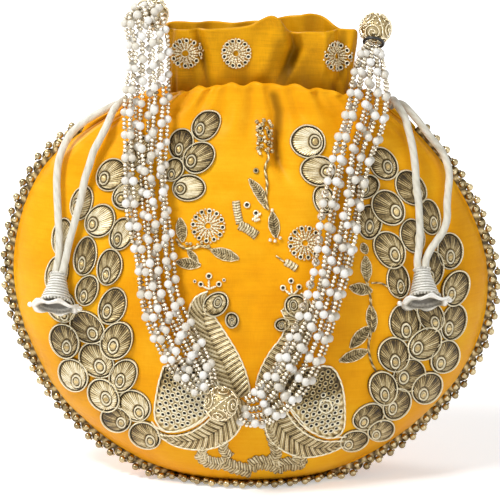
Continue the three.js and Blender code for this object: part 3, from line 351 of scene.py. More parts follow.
def closed(points, uv=(1.0, 1.0), tone=0.5):
    """A grid that runs round, closed at both ends by a fan to the middle of its end row."""
    rows, cols = points.shape[:2]
    body = grid(points, True, uv, tone)
    ends = np.stack([points[0].mean(0), points[-1].mean(0)])
    c = np.arange(cols)
    n = (c + 1) % cols
    low = np.stack([n, c, np.full(cols, rows * cols)], 1)
    top = np.stack([(rows - 1) * cols + c, (rows - 1) * cols + n, np.full(cols, rows * cols + 1)], 1)
    around, up = (1.0, 1.0) if np.ndim(uv[0]) else uv
    u = np.stack([c + 1, c, c + 0.5], 1) / cols * around
    low_uv = np.stack([u, np.zeros_like(u)], -1)
    top_uv = np.stack([u[:, [1, 0, 2]], np.full_like(u, up)], -1)
    tones = body["tone"]
    tones = np.concatenate([tones, [tones[:cols].mean(), tones[-cols:].mean()]])
    return {"points": np.concatenate([body["points"], ends]),
            "faces": body["faces"] + [low, top], "uvs": body["uvs"] + [low_uv, top_uv], "tone": tones}


def joined(parts):
    """Several parts as one."""
    starts = np.cumsum([0] + [len(p["points"]) for p in parts[:-1]])
    return {"points": np.concatenate([p["points"] for p in parts]),
            "faces": [f + s for p, s in zip(parts, starts) for f in p["faces"]],
            "uvs": [u for p in parts for u in p["uvs"]],
            "tone": np.concatenate([p["tone"] for p in parts])}


def repeated(shape, centres, frames, sizes, tones):
    """Copies of a shape's points and faces: point = centre + frame * (size * point)."""
    base, count = shape["points"], len(centres)
    sizes = np.asarray(sizes, float)
    sizes = sizes[:, None, :] if sizes.ndim == 2 else np.broadcast_to(sizes, (count,))[:, None, None]
    points = np.einsum("nij,nvj->nvi", frames, base[None] * sizes) + np.asarray(centres)[:, None, :]
    shift = (np.arange(count) * len(base))[:, None, None]
    faces = [(f[None] + shift).reshape(-1, f.shape[1]) for f in shape["faces"]]
    uvs = [np.tile(u, (count, 1, 1)) for u in shape["uvs"]]
    return {"points": points.reshape(-1, 3), "faces": faces, "uvs": uvs,
            "tone": np.repeat(np.asarray(tones, float), len(base))}


def ball(cells):
    """A unit ball: the six sides of a cube, each in cells by cells, pushed out to radius 1."""
    steps = np.tan(np.linspace(-1, 1, cells + 1) * math.pi / 4)
    a, b = np.meshgrid(steps, steps, indexing="ij")
    one = np.ones_like(a)
    sides = [np.stack(s, -1) for s in (
        (a, b, one), (b, a, -one), (one, a, b), (-one, b, a), (b, one, a), (a, -one, b))]
    sheets = [grid(unit(s)) for s in sides]
    whole = joined(sheets)
    keys, back = np.unique(np.round(whole["points"], 5), axis=0, return_inverse=True)
    faces = [back.reshape(-1)[f][:, ::-1] for f in whole["faces"]]
    return {"points": keys, "faces": faces, "uvs": whole["uvs"], "tone": np.full(len(keys), 0.5)}


def outward(shape):
    """The same faces turned round if they point inwards."""
    volume = 0.0
    p = shape["points"] - shape["points"].mean(0)
    for f in shape["faces"]:
        for k in range(1, f.shape[1] - 1):
            volume += np.einsum("ij,ij->i", p[f[:, 0]], np.cross(p[f[:, k]], p[f[:, k + 1]])).sum()
    if volume < 0:
        shape["faces"] = [f[:, ::-1] for f in shape["faces"]]
        shape["uvs"] = [u[:, ::-1] for u in shape["uvs"]]
    return shape


def piece(name, shape, material, body, nodes=(), thick=0.0):
    """A mesh from a part in millimetres, riding on a body and standing for CAD nodes."""
    mesh = bpy.data.meshes.new(name)
    points = shape["points"] * MM
    corners = np.concatenate([f.ravel() for f in shape["faces"]])
    counts = np.concatenate([np.full(len(f), f.shape[1]) for f in shape["faces"]])
    mesh.vertices.add(len(points))
    mesh.vertices.foreach_set("co", points.ravel().astype(np.float32))
    mesh.loops.add(len(corners))
    mesh.loops.foreach_set("vertex_index", corners.astype(np.int32))
    mesh.polygons.add(len(counts))
    mesh.polygons.foreach_set("loop_start", np.concatenate([[0], np.cumsum(counts)[:-1]]).astype(np.int32))
    mesh.update(calc_edges=True)
    mesh.validate()
    uv = mesh.uv_layers.new(name="UVMap")
    flat_uv = np.concatenate([u.reshape(-1, 2) for u in shape["uvs"]])
    uv.data.foreach_set("uv", flat_uv.ravel().astype(np.float32))
    tone = mesh.attributes.new("tone", "FLOAT", "POINT")
    tone.data.foreach_set("value", shape["tone"].astype(np.float32))
    mesh.shade_smooth()
    mesh.materials.append(material)
    thing = bpy.data.objects.new(name, mesh)
    bpy.context.scene.collection.objects.link(thing)
    if thick:
        wall = thing.modifiers.new("wall", "SOLIDIFY")
        wall.thickness = thick * MM
        wall.offset = -1
        wall.use_rim = True
    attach(thing, body)
    if nodes:
        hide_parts(*nodes)
    return thing


def blended(s, start, end, early, late):
    """From early where s is start to late where s is end, straight between."""
    return (end - s) / (end - start) * early + (s - start) / (end - start) * late


def run_of(line):
    """How far along a line each of its points lies."""
    return np.concatenate([[0], np.cumsum(np.linalg.norm(np.diff(line, axis=0), axis=1))])


def at_run(run, runs, values):
    """Values at places along a line, straight between its points."""
    return np.stack([np.interp(run, runs, column) for column in values.T], -1)


def spaced_line(points, steps):
    """Evenly spaced points on a centripetal Catmull-Rom curve, its length, and its directions."""
    p = np.array(points, float)
    p = np.concatenate([[2 * p[0] - p[1]], p, [2 * p[-1] - p[-2]]])
    fine = []
    for i in range(len(p) - 3):
        q = p[i:i + 4]
        t = np.concatenate([[0], np.cumsum(np.sqrt(np.linalg.norm(np.diff(q, axis=0), axis=1)))])
        s = np.linspace(t[1], t[2], 40, endpoint=False)[:, None]
        a = [blended(s, t[k], t[k + 1], q[k], q[k + 1]) for k in range(3)]
        b = [blended(s, t[k], t[k + 2], a[k], a[k + 1]) for k in range(2)]
        fine.append(blended(s, t[1], t[2], *b))
    fine = np.concatenate(fine + [p[-2:-1]])
    runs = run_of(fine)
    line = at_run(np.linspace(0, runs[-1], steps + 1), runs, fine)
    return line, runs[-1], unit(np.gradient(line, axis=0))


def line_length(line):
    return np.linalg.norm(np.diff(line, axis=0), axis=1).sum()


def frames_along(along, up=(0.0, -1.0, 0.0)):
    """Frames whose first column is the way along and whose others are square to it."""
    side = unit(np.cross(np.broadcast_to(np.array(up), along.shape), along))
    third = np.cross(along, side)
    return np.stack([along, side, third], -1)


def tube(line, along, radius, sides=12, turns=None, up=(0.0, -1.0, 0.0), flat=1.0):
    """A round tube on a line: point = place + radius * (cos * side + flat * sin * third)."""
    frames = frames_along(along, up)
    radius, flat = (np.broadcast_to(np.asarray(k, float), (len(line),)) for k in (radius, flat))
    a = np.linspace(0, 2 * math.pi, sides, endpoint=False)
    ring = np.cos(a)[None, :, None] * frames[:, None, :, 1] \
        + (flat[:, None] * np.sin(a))[..., None] * frames[:, None, :, 2]
    points = line[:, None] + ring * radius[:, None, None]
    return outward(closed(points, (1.0, line_length(line) if turns is None else turns)))


# Finishes.

class Value:
    """A number socket that can be added, subtracted and multiplied in Python."""

    def __init__(self, nodes, socket):
        self.nodes, self.socket = nodes, socket

    def maths(self, operation, *values):
        return self.nodes.node("ShaderNodeMath", {"operation": operation}, dict(enumerate(values)))

    def __add__(self, other):
        return self.maths("ADD", self, other)

    def __radd__(self, other):
        return self.maths("ADD", other, self)

    def __sub__(self, other):
        return self.maths("SUBTRACT", self, other)

    def __rsub__(self, other):
        return self.maths("SUBTRACT", other, self)

    def __mul__(self, other):
        return self.maths("MULTIPLY", self, other)

    def __rmul__(self, other):
        return self.maths("MULTIPLY", other, self)

    def wave(self):
        return self.maths("SINE", self)

    def between(self, low, high):
        """0 below low, 1 above high, straight between."""
        ends = {"Value": self, 1: low, 2: high}
        return self.nodes.node("ShaderNodeMapRange", {"clamp": True}, ends, "Result")


class Nodes:
    """A node tree and its shader."""

    def __init__(self, tree, shader):
        self.tree, self.shader = tree, tree.nodes[shader]

    def node(self, kind, settings=None, inputs=None, output=0):
        """Any node: its settings first, then the values or links of its sockets."""
        made = self.tree.nodes.new(kind)
        for key, value in (settings or {}).items():
            if key == "stops":
                ramp = made.color_ramp
                while len(ramp.elements) < len(value):
                    ramp.elements.new(0.5)
                for element, (place, colour) in zip(ramp.elements, value):
                    element.position, element.color = place, (*colour, 1)
            else:
                setattr(made, key, value)
        for key, value in (inputs or {}).items():
            self.give(made.inputs[key], value)
        return Value(self, made.outputs[output])

    def give(self, socket, value):
        if isinstance(value, Value):
            self.tree.links.new(value.socket, socket)
        else:
            socket.default_value = value

    def set(self, **values):
        for key, value in values.items():
            self.give(self.shader.inputs[key.replace("_", " ")], value)

    def seen(self):
        """1 for what the camera sees directly, in a mirror or through glass, 0 for other light."""
        rays = [self.node("ShaderNodeLightPath", output=f"Is {kind} Ray")
                for kind in ("Camera", "Glossy", "Transmission")]
        return (rays[0] + rays[1] + rays[2]).between(0, 1)

    def place(self, scale=(1, 1, 1)):
        """Object coordinates, in metres, stretched."""
        at = self.node("ShaderNodeTexCoord", output="Object")
        return self.node("ShaderNodeMapping", {}, {"Vector": at, "Scale": scale})

    def across(self):
        """The piece's own U and V."""
        uv = self.node("ShaderNodeUVMap", {"uv_map": "UVMap"})
        split = self.node("ShaderNodeSeparateXYZ", {}, {0: uv}, "X")
        return split, Value(self, split.socket.node.outputs["Y"])

    def tone(self):
        return self.node("ShaderNodeAttribute", {"attribute_name": "tone"}, output="Fac")

    def noise(self, scale, stretch=(1, 1, 1), detail=2.0, rough=0.5):
        return self.node("ShaderNodeTexNoise", {}, {
            "Vector": self.place(stretch), "Scale": scale, "Detail": detail, "Roughness": rough})

    def ramp(self, value, stops):
        return self.node("ShaderNodeValToRGB", {"stops": stops}, {"Fac": value})

    def mix(self, amount, first, second, blend="MIX"):
        made = self.node("ShaderNodeMix", {"data_type": "RGBA", "blend_type": blend}, {0: amount}, 2)
        for index, colour in ((6, first), (7, second)):
            self.give(made.socket.node.inputs[index], colour if isinstance(colour, Value) else (*colour, 1))
        return made

    def bump(self, height, strength, distance, under=None):
        inputs = {"Height": height, "Strength": strength, "Distance": distance}
        if under is not None:
            inputs["Normal"] = under
        return self.node("ShaderNodeBump", {}, inputs)


class Finish(Nodes):
    """A material, with uniform values for its shader."""

    def __init__(self, name, **values):
        self.material = bpy.data.materials.new(name)
        self.material.use_nodes = True
        super().__init__(self.material.node_tree, "Principled BSDF")
        self.set(**values)


def silk_finish(name, light, middle, dark, crease=0.0007):
    """Dupion: fine warp and weft, long slubs across and soft creases. The tone is how deep a fold lies, and
    it darkens the colour there: painted shade in the folds.
    """
    f = Finish(name, Sheen_Weight=0.1, Sheen_Roughness=0.4, Sheen_Tint=(1, 0.6, 0.15, 1),
               Specular_IOR_Level=0.22, Specular_Tint=(1, 0.8, 0.45, 1))
    slubs = f.noise(1, (38, 38, 1150), 3, 0.6)
    slow = f.noise(1, (9, 9, 16), 2)
    cloudy = f.noise(1, (42, 42, 55), 3, 0.6)
    weft = f.noise(1, (160, 160, 2900), 1)
    warp = f.noise(1, (2900, 2900, 120), 1)
    shade = 0.12 * slubs + 0.34 * slow + 0.36 * cloudy + 0.09 * weft + 0.09 * warp
    colour = f.ramp(shade, [(0.38, dark), (0.5, middle), (0.6, light)])
    fold = f.tone()
    # Painted shade: the colour goes towards 0.22 of the dark colour as the tone rises in deep folds.
    shaded = f.mix(fold, colour, tuple(0.22 * c for c in dark))
    threads = 0.4 * slubs + 0.35 * weft + 0.25 * warp
    creases = f.bump(f.noise(1, (70, 70, 52), 3, 0.5), 0.6, crease)
    f.set(Base_Color=shaded, Roughness=0.4 + 0.14 * slubs, Normal=f.bump(threads, 0.4, 0.00018, creases))
    return f.material


silk = silk_finish("dupion_silk", (1.0, 0.5, 0.012), (0.95, 0.41, 0.004), (0.84, 0.325, 0.002))
# The frill's silk is the same cloth in darker colours: painted shade for the frill.
frill_silk_painted_shade = silk_finish("frill_silk_painted_shade", (0.9, 0.43, 0.006), (0.76, 0.35, 0.003), (0.48, 0.21, 0.0015),
                         crease=0.0016)
lining = silk_finish("lining", (0.6, 0.29, 0.02), (0.5, 0.23, 0.012), (0.38, 0.16, 0.006))


def bead_finish(name, colour, dull, metallic, roughness, speck=900.0):
    """Metal, mixed with a duller colour by a noise and by a tone of its own for each bead."""
    f = Finish(name, Metallic=metallic)
    patch = f.noise(speck)
    mixed = f.mix((0.55 * patch + 0.75 * f.tone() - 0.15).between(0.2, 0.75), dull, colour)
    f.set(Base_Color=mixed, Roughness=roughness + 0.12 * patch, Normal=f.bump(patch, 0.12, 0.0001))
    return f.material


gold_beads = bead_finish("gold_beads", (0.56, 0.46, 0.27), (0.15, 0.105, 0.045), 1.0, 0.14)
silver_beads = bead_finish("silver_gold_beads", (0.84, 0.78, 0.66), (0.34, 0.28, 0.18), 1.0, 0.18)
filigree = bead_finish("filigree", (0.95, 0.86, 0.64), (0.66, 0.54, 0.32), 1.0, 0.16, 1600.0)
dark_gold = bead_finish("filigree_ground", (0.6, 0.49, 0.27), (0.26, 0.19, 0.09), 1.0, 0.38)
eye_gold = bead_finish("eye_coils", (0.78, 0.6, 0.28), (0.3, 0.19, 0.06), 0.7, 0.3, 2400.0)


def pearl_finish():
    """A soft shine, each pearl with a tone of its own."""
    f = Finish("pearls", Coat_Roughness=0.08, Specular_IOR_Level=0.35)
    patch = f.noise(420, detail=1)
    light = (f.tone() + 0.4 * patch - 0.2).between(0.2, 0.8)
    colour = f.mix(light, (0.74, 0.68, 0.56), (0.94, 0.92, 0.87))
    f.set(Base_Color=colour, Roughness=0.3 + 0.08 * patch, Coat_Weight=0.3 + 0.15 * patch)
    return f.material


pearl = pearl_finish()


def cord_finish():
    """Satin cord: fine strands that wind round it, painted lighter on their crests and darker between them:
    painted light and shade.
    """
    f = Finish("satin_cord", Sheen_Weight=0.3, Sheen_Roughness=0.3, Specular_IOR_Level=0.5)
    u, v = f.across()
    strand = ((u * 3 + v * 0.16) * (2 * math.pi)).wave()
    thread = ((u * 26 + v * 1.1) * (2 * math.pi)).wave()
    patch = f.noise(260)
    # The strand and thread waves lighten the crests and darken the grooves: painted light and shade.
    shade = 0.5 + 0.1 * strand + 0.12 * thread + 0.6 * (patch - 0.5)
    stops = [(0.1, (0.58, 0.52, 0.38)), (0.5, (0.86, 0.82, 0.69)), (0.85, (0.95, 0.92, 0.83))]
    f.set(Base_Color=f.ramp(shade, stops), Roughness=0.3 + 0.14 * patch,
          Normal=f.bump(0.5 * strand + 0.5 * thread, 0.5, 0.00022))
    return f.material


ivory_cord = cord_finish()


def wound_finish():
    """Silver-white thread wound round and round: a fine rib for every turn. The tone darkens it between the
    ribs, in the crease under the cone and inside the bell, painted shade, and each turn is lighter on its
    crest, painted light.
    """
    f = Finish("wound_silver", Specular_IOR_Level=0.6)
    u, v = f.across()
    turn = ((v + 0.02 * (u * 40).wave()) * (2 * math.pi)).wave()
    glint = f.noise(1300)
    # Painted shade from the tone, and painted light on each turn's crest.
    shade = 0.75 * f.tone() + 0.1 + 0.1 * turn + 0.3 * (glint - 0.5)
    stops = [(0.1, (0.13, 0.115, 0.09)), (0.45, (0.66, 0.63, 0.54)), (0.8, (0.96, 0.94, 0.88))]
    f.set(Base_Color=f.ramp(shade, stops), Metallic=0.55 * glint + 0.15, Roughness=0.28 + 0.2 * glint,
          Normal=f.bump(turn, 0.5, 0.00025))
    return f.material


wound_silver = wound_finish()


def thread_finish():
    """Metal-thread embroidery. The tone picks the colour: near black for painted shade in the gaps, khaki,
    gold, champagne, cream cord. U counts stitches, so that each one is a crest of the wave, painted lighter
    on its crest and darker between."""
    f = Finish("gold_thread", Specular_IOR_Level=0.55)
    u, v = f.across()
    tone = f.tone()
    stitch = ((u + 0.35 * v) * (2 * math.pi)).wave()
    glint = f.noise(1500)
    patch = f.noise(150)
    # Painted light and shade: each raised stitch lighter on its crest and darker between.
    raised = 0.2 * stitch * (tone * 4).between(0.3, 1.6)
    shade = tone + raised + 0.42 * (glint - 0.5) + 0.3 * (patch - 0.5)
    stops = [(0.0, (0.012, 0.007, 0.002)), (0.16, (0.06, 0.037, 0.01)), (0.36, (0.26, 0.175, 0.06)),
             (0.6, (0.62, 0.48, 0.23)), (0.8, (0.9, 0.77, 0.48)), (1.0, (1.0, 0.94, 0.74))]
    f.set(Base_Color=f.ramp(shade, stops), Metallic=(0.75 * glint + 0.1).between(0.0, 1.0),
          Roughness=0.3 + 0.22 * patch, Normal=f.bump(stitch + 0.4 * glint, 0.55, 0.0003))
    return f.material


gold_thread = thread_finish()


def ring_finish(colour=(0.02, 0.018, 0.016)):
    """The black ring at the right ball's mouth, a little worn."""
    f = Finish("black_ring")
    patch = f.noise(600)
    f.set(Base_Color=f.mix(patch, tuple(0.7 * c for c in colour), colour), Roughness=0.35 + 0.1 * patch)
    return f.material


black = ring_finish()


# Cords and their bells. Each route starts in the casing and ends in its bell.

CORD_ROUTES = {
    "left_cord_outer": [
        (-44.2, 1.8, 161.3), (-47.6, 1.8, 161.5), (-53, 1.6, 163.6), (-58, -2.8, 165.2),
        (-64.5, -7.5, 162.9), (-72.3, -8.5, 158.5), (-77.8, -9.3, 153.7), (-81, -12.1, 148.7),
        (-83.4, -15.2, 141.9), (-84.1, -17.3, 135.1), (-83.9, -20, 126.7), (-83.4, -23, 118.2),
        (-82.9, -25.4, 109.6), (-83.2, -26.4, 102), (-84, -27.3, 98), (-84.7, -28.3, 95.2)],
    "left_cord_inner": [
        (-44.2, -1.8, 161.3), (-47.6, -1.8, 161.5), (-51.5, -2, 164.2), (-55, -6.5, 167.4),
        (-59, -14, 165), (-62.5, -19.3, 158), (-65, -20.7, 153.2), (-68, -21.8, 147.5),
        (-69.8, -23.1, 141.7), (-71.6, -23.8, 136.3), (-73.4, -25.3, 127.7), (-75.2, -26.4, 121.2),
        (-77, -27.4, 114.6), (-78.8, -28.2, 107.9), (-80, -28.8, 102), (-81, -29.4, 98),
        (-81.7, -30.2, 95.2)],
    "right_cord_inner": [
        (52.6, -1.8, 157.7), (54.8, -1.8, 157.9), (58.8, -1.8, 163.6), (61.6, -5, 167.4),
        (63.5, -10.8, 165.8), (66.5, -13, 161.3), (67.9, -15.8, 156.8), (69.8, -18.3, 149.1),
        (71, -20.7, 140.3), (71.4, -22.4, 133.9), (72.2, -24.1, 127.7), (72.6, -26.2, 121.3),
        (72.9, -28.6, 112.7), (72.4, -30.2, 106), (71.7, -32.4, 101), (72.1, -33.9, 98.2)],
    "right_cord_outer": [
        (52.6, 1.8, 157.7), (54.8, 1.8, 157.9), (60, 1.7, 163), (65, -2, 165.2), (70.5, -7, 161),
        (78, -7.8, 151.5), (83.5, -6.8, 144.3), (86.2, -9.9, 136.5), (85.8, -13.9, 130.3),
        (85.1, -17.4, 124.3), (85, -20.2, 117.9), (83.3, -23, 112.9), (80.2, -26, 109),
        (77.3, -28.6, 105.3), (75.4, -31.1, 101.2), (75.3, -32.4, 98.2)],
}
CORD_STEPS = 90
BELL_LEAN = math.radians(29)
BELL_SIDES = 72
CONE_TOP, CONE_FOOT = 0.9, 12.6  # the wound cone of a bell, from its top
RIBS, RIB_HEIGHT = 9, 0.85
# Radius and depth of a bell's head above the cone, of its hem under it, and of its inside.
BELL_HEAD = [(1.3, -0.05), (2.2, 0.0), (2.9, 0.3), (3.3, 0.7)]
BELL_HEM = [(6.6, 12.9), (5.4, 13.2), (5.0, 13.7), (5.6, 14.3), (7.2, 14.7), (8.8, 14.9), (9.9, 14.8),
            (10.4, 15.0), (10.5, 15.5), (10.2, 16.0)]
BELL_INSIDE = [(9.2, 16.2), (7.8, 16.1), (6.6, 15.6), (5.4, 14.7), (4.4, 13.2), (3.2, 11.0), (1.0, 9.0)]
# Tones of the hem's and the inside's points: near black in the crease under the cone and deep inside,
# painted shade.
HEM_TONES = [0.1, 0.0, 0.0, 0.1, 0.5, 0.9, 0.9, 0.9, 0.9, 0.9]
INSIDE_TONES = [0.85, 0.35, 0.06, 0.0, 0.0, 0.0, 0.0]


def bell_profile():
    """Radius and depth from the top: a rounded head, a cone wound in ribs |sin|^0.6, a flared hem, and back
    inside. With it the tone, which is dark between the ribs, in the crease under the cone and inside:
    painted shade."""
    depth = np.linspace(CONE_TOP, CONE_FOOT, 91)
    share = (depth - CONE_TOP) / (CONE_FOOT - CONE_TOP)
    ribs = RIB_HEIGHT * np.abs(np.sin(math.pi * share * RIBS)) ** 0.6
    cone = np.stack([2.6 + 3.4 * share ** 1.25 + ribs, depth], 1)
    tones = 0.12 + 0.88 * ribs / RIB_HEIGHT
    shade = np.concatenate([[0.8] * len(BELL_HEAD), tones, HEM_TONES, INSIDE_TONES])
    return np.concatenate([BELL_HEAD, cone, BELL_HEM, BELL_INSIDE]), shade


def bell_part(top, down):
    """The profile turned about its axis, its hem waved: radius and depth change with sines of the angle.
    Rings of small beads lie at the neck and over the hem, and a bead at either side of the hem."""
    profile, shade = bell_profile()
    a = np.linspace(0, 2 * math.pi, BELL_SIDES, endpoint=False)
    radius, depth = profile[:, 0][:, None], profile[:, 1][:, None]
    flare = smooth(radius, 6.5, 10.2) * smooth(depth, 13.2, 14.6)
    radius = radius * (1 + 0.06 * flare * np.cos(6 * a + 0.6)) + 0.2 * flare * np.cos(13 * a)
    depth = depth + 0.8 * flare * np.sin(6 * a + 0.2)
    tight = frames_along(down[None], (1.0, 0.0, 0.0))[0]
    points = top + depth[..., None] * tight[:, 0] + (radius * np.cos(a))[..., None] * tight[:, 1] \
        + (radius * np.sin(a))[..., None] * tight[:, 2]
    shades = np.repeat(shade[:, None], BELL_SIDES, 1)
    parts = [outward(closed(points, (40.0, len(profile) / 2.4), shades))]
    ring = np.linspace(0, 2 * math.pi, 28, endpoint=False)
    for depth_at, reach in ((12.9, 6.7), (0.7, 3.35)):
        line = top + depth_at * tight[:, 0] + reach * (
            np.cos(ring)[:, None] * tight[:, 1] + np.sin(ring)[:, None] * tight[:, 2])
        tones = rng.uniform(0.3, 0.8, len(ring))
        parts.append(repeated(ball(2), line, np.repeat(tight[None], len(ring), 0), 0.62, tones))
    ends = top + 15.2 * tight[:, 0] + np.array([-10.8, 10.8])[:, None] * tight[:, 2]
    parts.append(repeated(ball(4), ends, np.repeat(tight[None], 2, 0), 1.15, [0.9, 0.8]))
    return joined(parts)


def hung_bell(side, ends):
    """The bell under the ends of its two cords, which lean it forward."""
    between = ends[1] - ends[0]
    ahead = unit(np.array([-between[1], between[0], 0]))
    ahead = unit(ahead * (0.3, 1, 1)) * (-1 if ahead[1] > 0 else 1) * math.sin(BELL_LEAN)
    down = np.array([ahead[0], ahead[1], -math.cos(BELL_LEAN)])
    shape = bell_part(ends.mean(0) - 0.5 * down, down)
    return piece(f"{side}_wound_bell", shape, wound_silver, "bag", [f"{side}_bell"])


def hung_cord(leg):
    line, length, along = spaced_line(CORD_ROUTES[leg], CORD_STEPS)
    swell = CORD_RADIUS * (1 - 0.035 * np.sin(np.linspace(0, 37, len(line))) ** 2)
    shape = tube(line, along, swell, 14, length)
    cord = piece(f"{leg}_satin", shape, ivory_cord, "bag", [leg])
    tuple(line[0] * MM)
    length * MM
    (line * MM).tolist()


for side, legs in (("left", ("left_cord_outer", "left_cord_inner")),
                   ("right", ("right_cord_inner", "right_cord_outer"))):
    bell = hung_bell(side, np.array([CORD_ROUTES[leg][-1] for leg in legs]))
    for leg in legs:
        hung_cord(leg)


RING_HEIGHTS = {"left": 160.95, "right": 157.35}
RING_OUT = 2.75
RING_GAP = 0.28  # the turn between a ring's end and the side
DEEP_FOLD_COLUMN, DEEP_FOLD_REACH = 271, 13  # where the deep fold draws the hem in


def drawstring(side, z):
    """A cord round the neck in the casing, pressed flat and inwards where the deep fold draws the hem in,
    and bent out to the slit at both ends."""
    way = -1 if side == "left" else 1
    turn = way * math.pi / 2 + np.linspace(RING_GAP, 2 * math.pi - RING_GAP, 150)
    middle, out = neck_level(RING_OUT, RING_OUT, z, turn)
    column, _ = picture(middle)
    pressed = np.exp(-((column - DEEP_FOLD_COLUMN) / DEEP_FOLD_REACH) ** 2) * (np.cos(turn) > 0)
    middle = middle - out * (0.95 * pressed)[:, None]
    tip, _ = neck_level(RING_OUT, RING_OUT, z, np.array(way * math.pi / 2))
    half = CORD_RADIUS + 0.15
    ends = [[(tip[0] + way * 4.3, half * sign, tip[2]), (tip[0] + way * 2.15, half * sign, tip[2])]
            for sign in (np.sign(middle[0, 1]), np.sign(middle[-1, 1]))]
    line = np.concatenate([ends[0], middle, ends[1][::-1]])
    pressed = np.concatenate([[0, 0], pressed, [0, 0]])
    line, length, along = spaced_line(line[::3], 200)
    pressed = np.interp(np.linspace(0, 1, 201), np.linspace(0, 1, len(pressed)), pressed)
    thin = CORD_RADIUS - 0.8 * pressed
    shape = tube(line, along, thin, 12, length, (0.0, 0.0, 1.0), 1 + 0.9 * pressed)
    return piece(f"{side}_drawstring_cord", shape, ivory_cord, "bag", [f"{side}_drawstring"])


for side, height in RING_HEIGHTS.items():
    drawstring(side, height)


# The pouch.

def front_point(share, turn):
    """The front cloth: its smooth outline, less the folds."""
    base, out = body_level(share, turn)
    return base - out * front_depth(share, turn, base)[..., None]


# The hem's roll, from its outside edge: how far out of the neck, as a share of the hem's, and the height
# over it in millimetres. A lip, a step down behind it, and in over the casing to the neck.
HEM_ROLL = np.array([
    (0, 1.0, 0.0), (1, 0.97, 1.1), (2, 0.88, 1.7), (3, 0.76, 1.8), (4, 0.67, 1.2), (5, 0.6, 0.1),
    (6, 0.52, -0.9), (7, 0.36, -1.3), (8, 0.2, -1.4), (9, 0.07, -1.7), (10, 0.05, -4.0),
    (11, 0.05, -7.0)], float)
roll_out, roll_rise = through(HEM_ROLL, 1), through(HEM_ROLL, 2)
ROLL = np.linspace(0.4, 11, 28)  # where the roll's rows of points lie
SILK_THICKNESS = 1.1
SILK_UV = (208, 180)  # millimetres across and up the cloth


def hem_roll(t, turn, depth):
    """The puffed hem, t from 0 at its outside edge to 11 behind the casing."""
    share = roll_out(t)
    uneven = 0.5 * np.sin(turn * 23) + 0.4 * np.sin(turn * 37 + 1.0)
    z = HEM_HEIGHT + roll_rise(t) + uneven * np.sin(math.pi * np.clip(t / 6, 0, 1))
    point, way = neck_level(HEM_OUT * share, HEM_SIDE_OUT * share, z, turn)
    return point - way * (depth * smooth(share, 0.1, 0.9))[..., None]


def with_hem(points, depth, turns, shares, room):
    """A cloth's rows with the hem's roll above them. Beside its edges it keeps room from the seam plane."""
    points = np.concatenate([points, hem_roll(ROLL[:, None], turns, depth[-1])])
    shares = np.concatenate([shares, np.ones(len(ROLL))])[:, None]
    points[..., 1] += room * seam_room(shares) * (shares > 0.04)
    return points


def over_hem(dark):
    """A cloth's tones, painted shade in its folds, with those of the hem above them, where its folds end."""
    return np.concatenate([dark, dark[-1] * (1 - smooth(np.linspace(0, 1, len(ROLL)), 0.1, 0.5))[:, None]])


def front_cloth():
    """The front's points and tones, from the base up: its outline less the folds, tucked in at the base. The
    tones are painted shade, dark where the drawn folds are deep.
    """
    shares = np.concatenate([[0.018, 0.022, 0.028], np.linspace(0.036, 0.7, 74), np.linspace(0.706, 1, 60)])
    edges = np.linspace(-1, 1, 241)
    share, across = np.meshgrid(shares, edges, indexing="ij")
    turn = across * seam_turn(share)
    base, out = body_level(share, turn)
    depth = front_depth(share, turn, base) * smooth(1 - np.abs(across), 0, 0.03)
    points = base - out * depth[..., None]
    points -= out * ((1 - smooth(share, 0.016, 0.034)) * 0.8)[..., None]
    near = 1 - smooth(1 - np.abs(edges), 0, 0.05)
    points = with_hem(points, depth, edges * math.pi / 2, shares, -near)
    column, row = picture(points[:len(shares)])
    return points, over_hem(0.8 * smooth(deep_fold(column, row), 2.0, 5.6))


def back_cloth():
    """The same for the back, whose tones, painted shade, follow the depth of its folds."""
    shares = np.concatenate([np.linspace(0, 0.7, 70), np.linspace(0.707, 1, 46)])
    edges = np.linspace(0, 1, 221)
    share, across = np.meshgrid(shares, edges, indexing="ij")
    start = seam_turn(share)
    turn = start + (2 * math.pi - 2 * start) * across
    base, out = body_level(share, turn)
    fade = smooth(np.minimum(across, 1 - across), 0, 0.015)
    depth = back_depth(share, turn) * fade * smooth(share, 0.0, 0.06)
    near = 1 - smooth(np.minimum(edges, 1 - edges), 0, 0.025)
    points = base - out * depth[..., None]
    points = with_hem(points, depth, math.pi / 2 + math.pi * edges, shares, near)
    return points, over_hem(0.5 * smooth(depth, 1.6, 5.0))


def base_cloth(rim_turns):
    """The base: its rim's ring, drawn in ring by ring to the middle and a little wavy."""
    scale = np.linspace(1, 0, 12)[:-1]
    rim, _ = body_level(0.0 * rim_turns, rim_turns)
    rings = rim[None] * scale[:, None, None]
    rings[..., 2] = 0.25 * np.sin(rings[..., 0] * 0.13) ** 2 * (1 - scale[:, None] ** 4)
    return rings


def bag_cloth():
    # dark is each cloth's painted shade in its folds.
    for side, (points, dark) in (("front", front_cloth()), ("back", back_cloth())):
        cloth = piece(f"{side}_silk", grid(points, uv=SILK_UV, tone=dark), silk, "bag",
                      [f"{side}_panel"], thick=SILK_THICKNESS)
    rings = base_cloth(np.linspace(0, 2 * math.pi, 96, endpoint=False))
    base = closed(np.concatenate([rings, rings[::-1] + (0, 0, 1.0)]), (10, 10), 0.0)
    piece("base_silk", outward(base), silk, "bag")


bag_cloth()


# The frill. Folds of its front as for the pouch, with a depth below 0 for a ridge. Its rim's height, and
# the folds of its back, go by column.

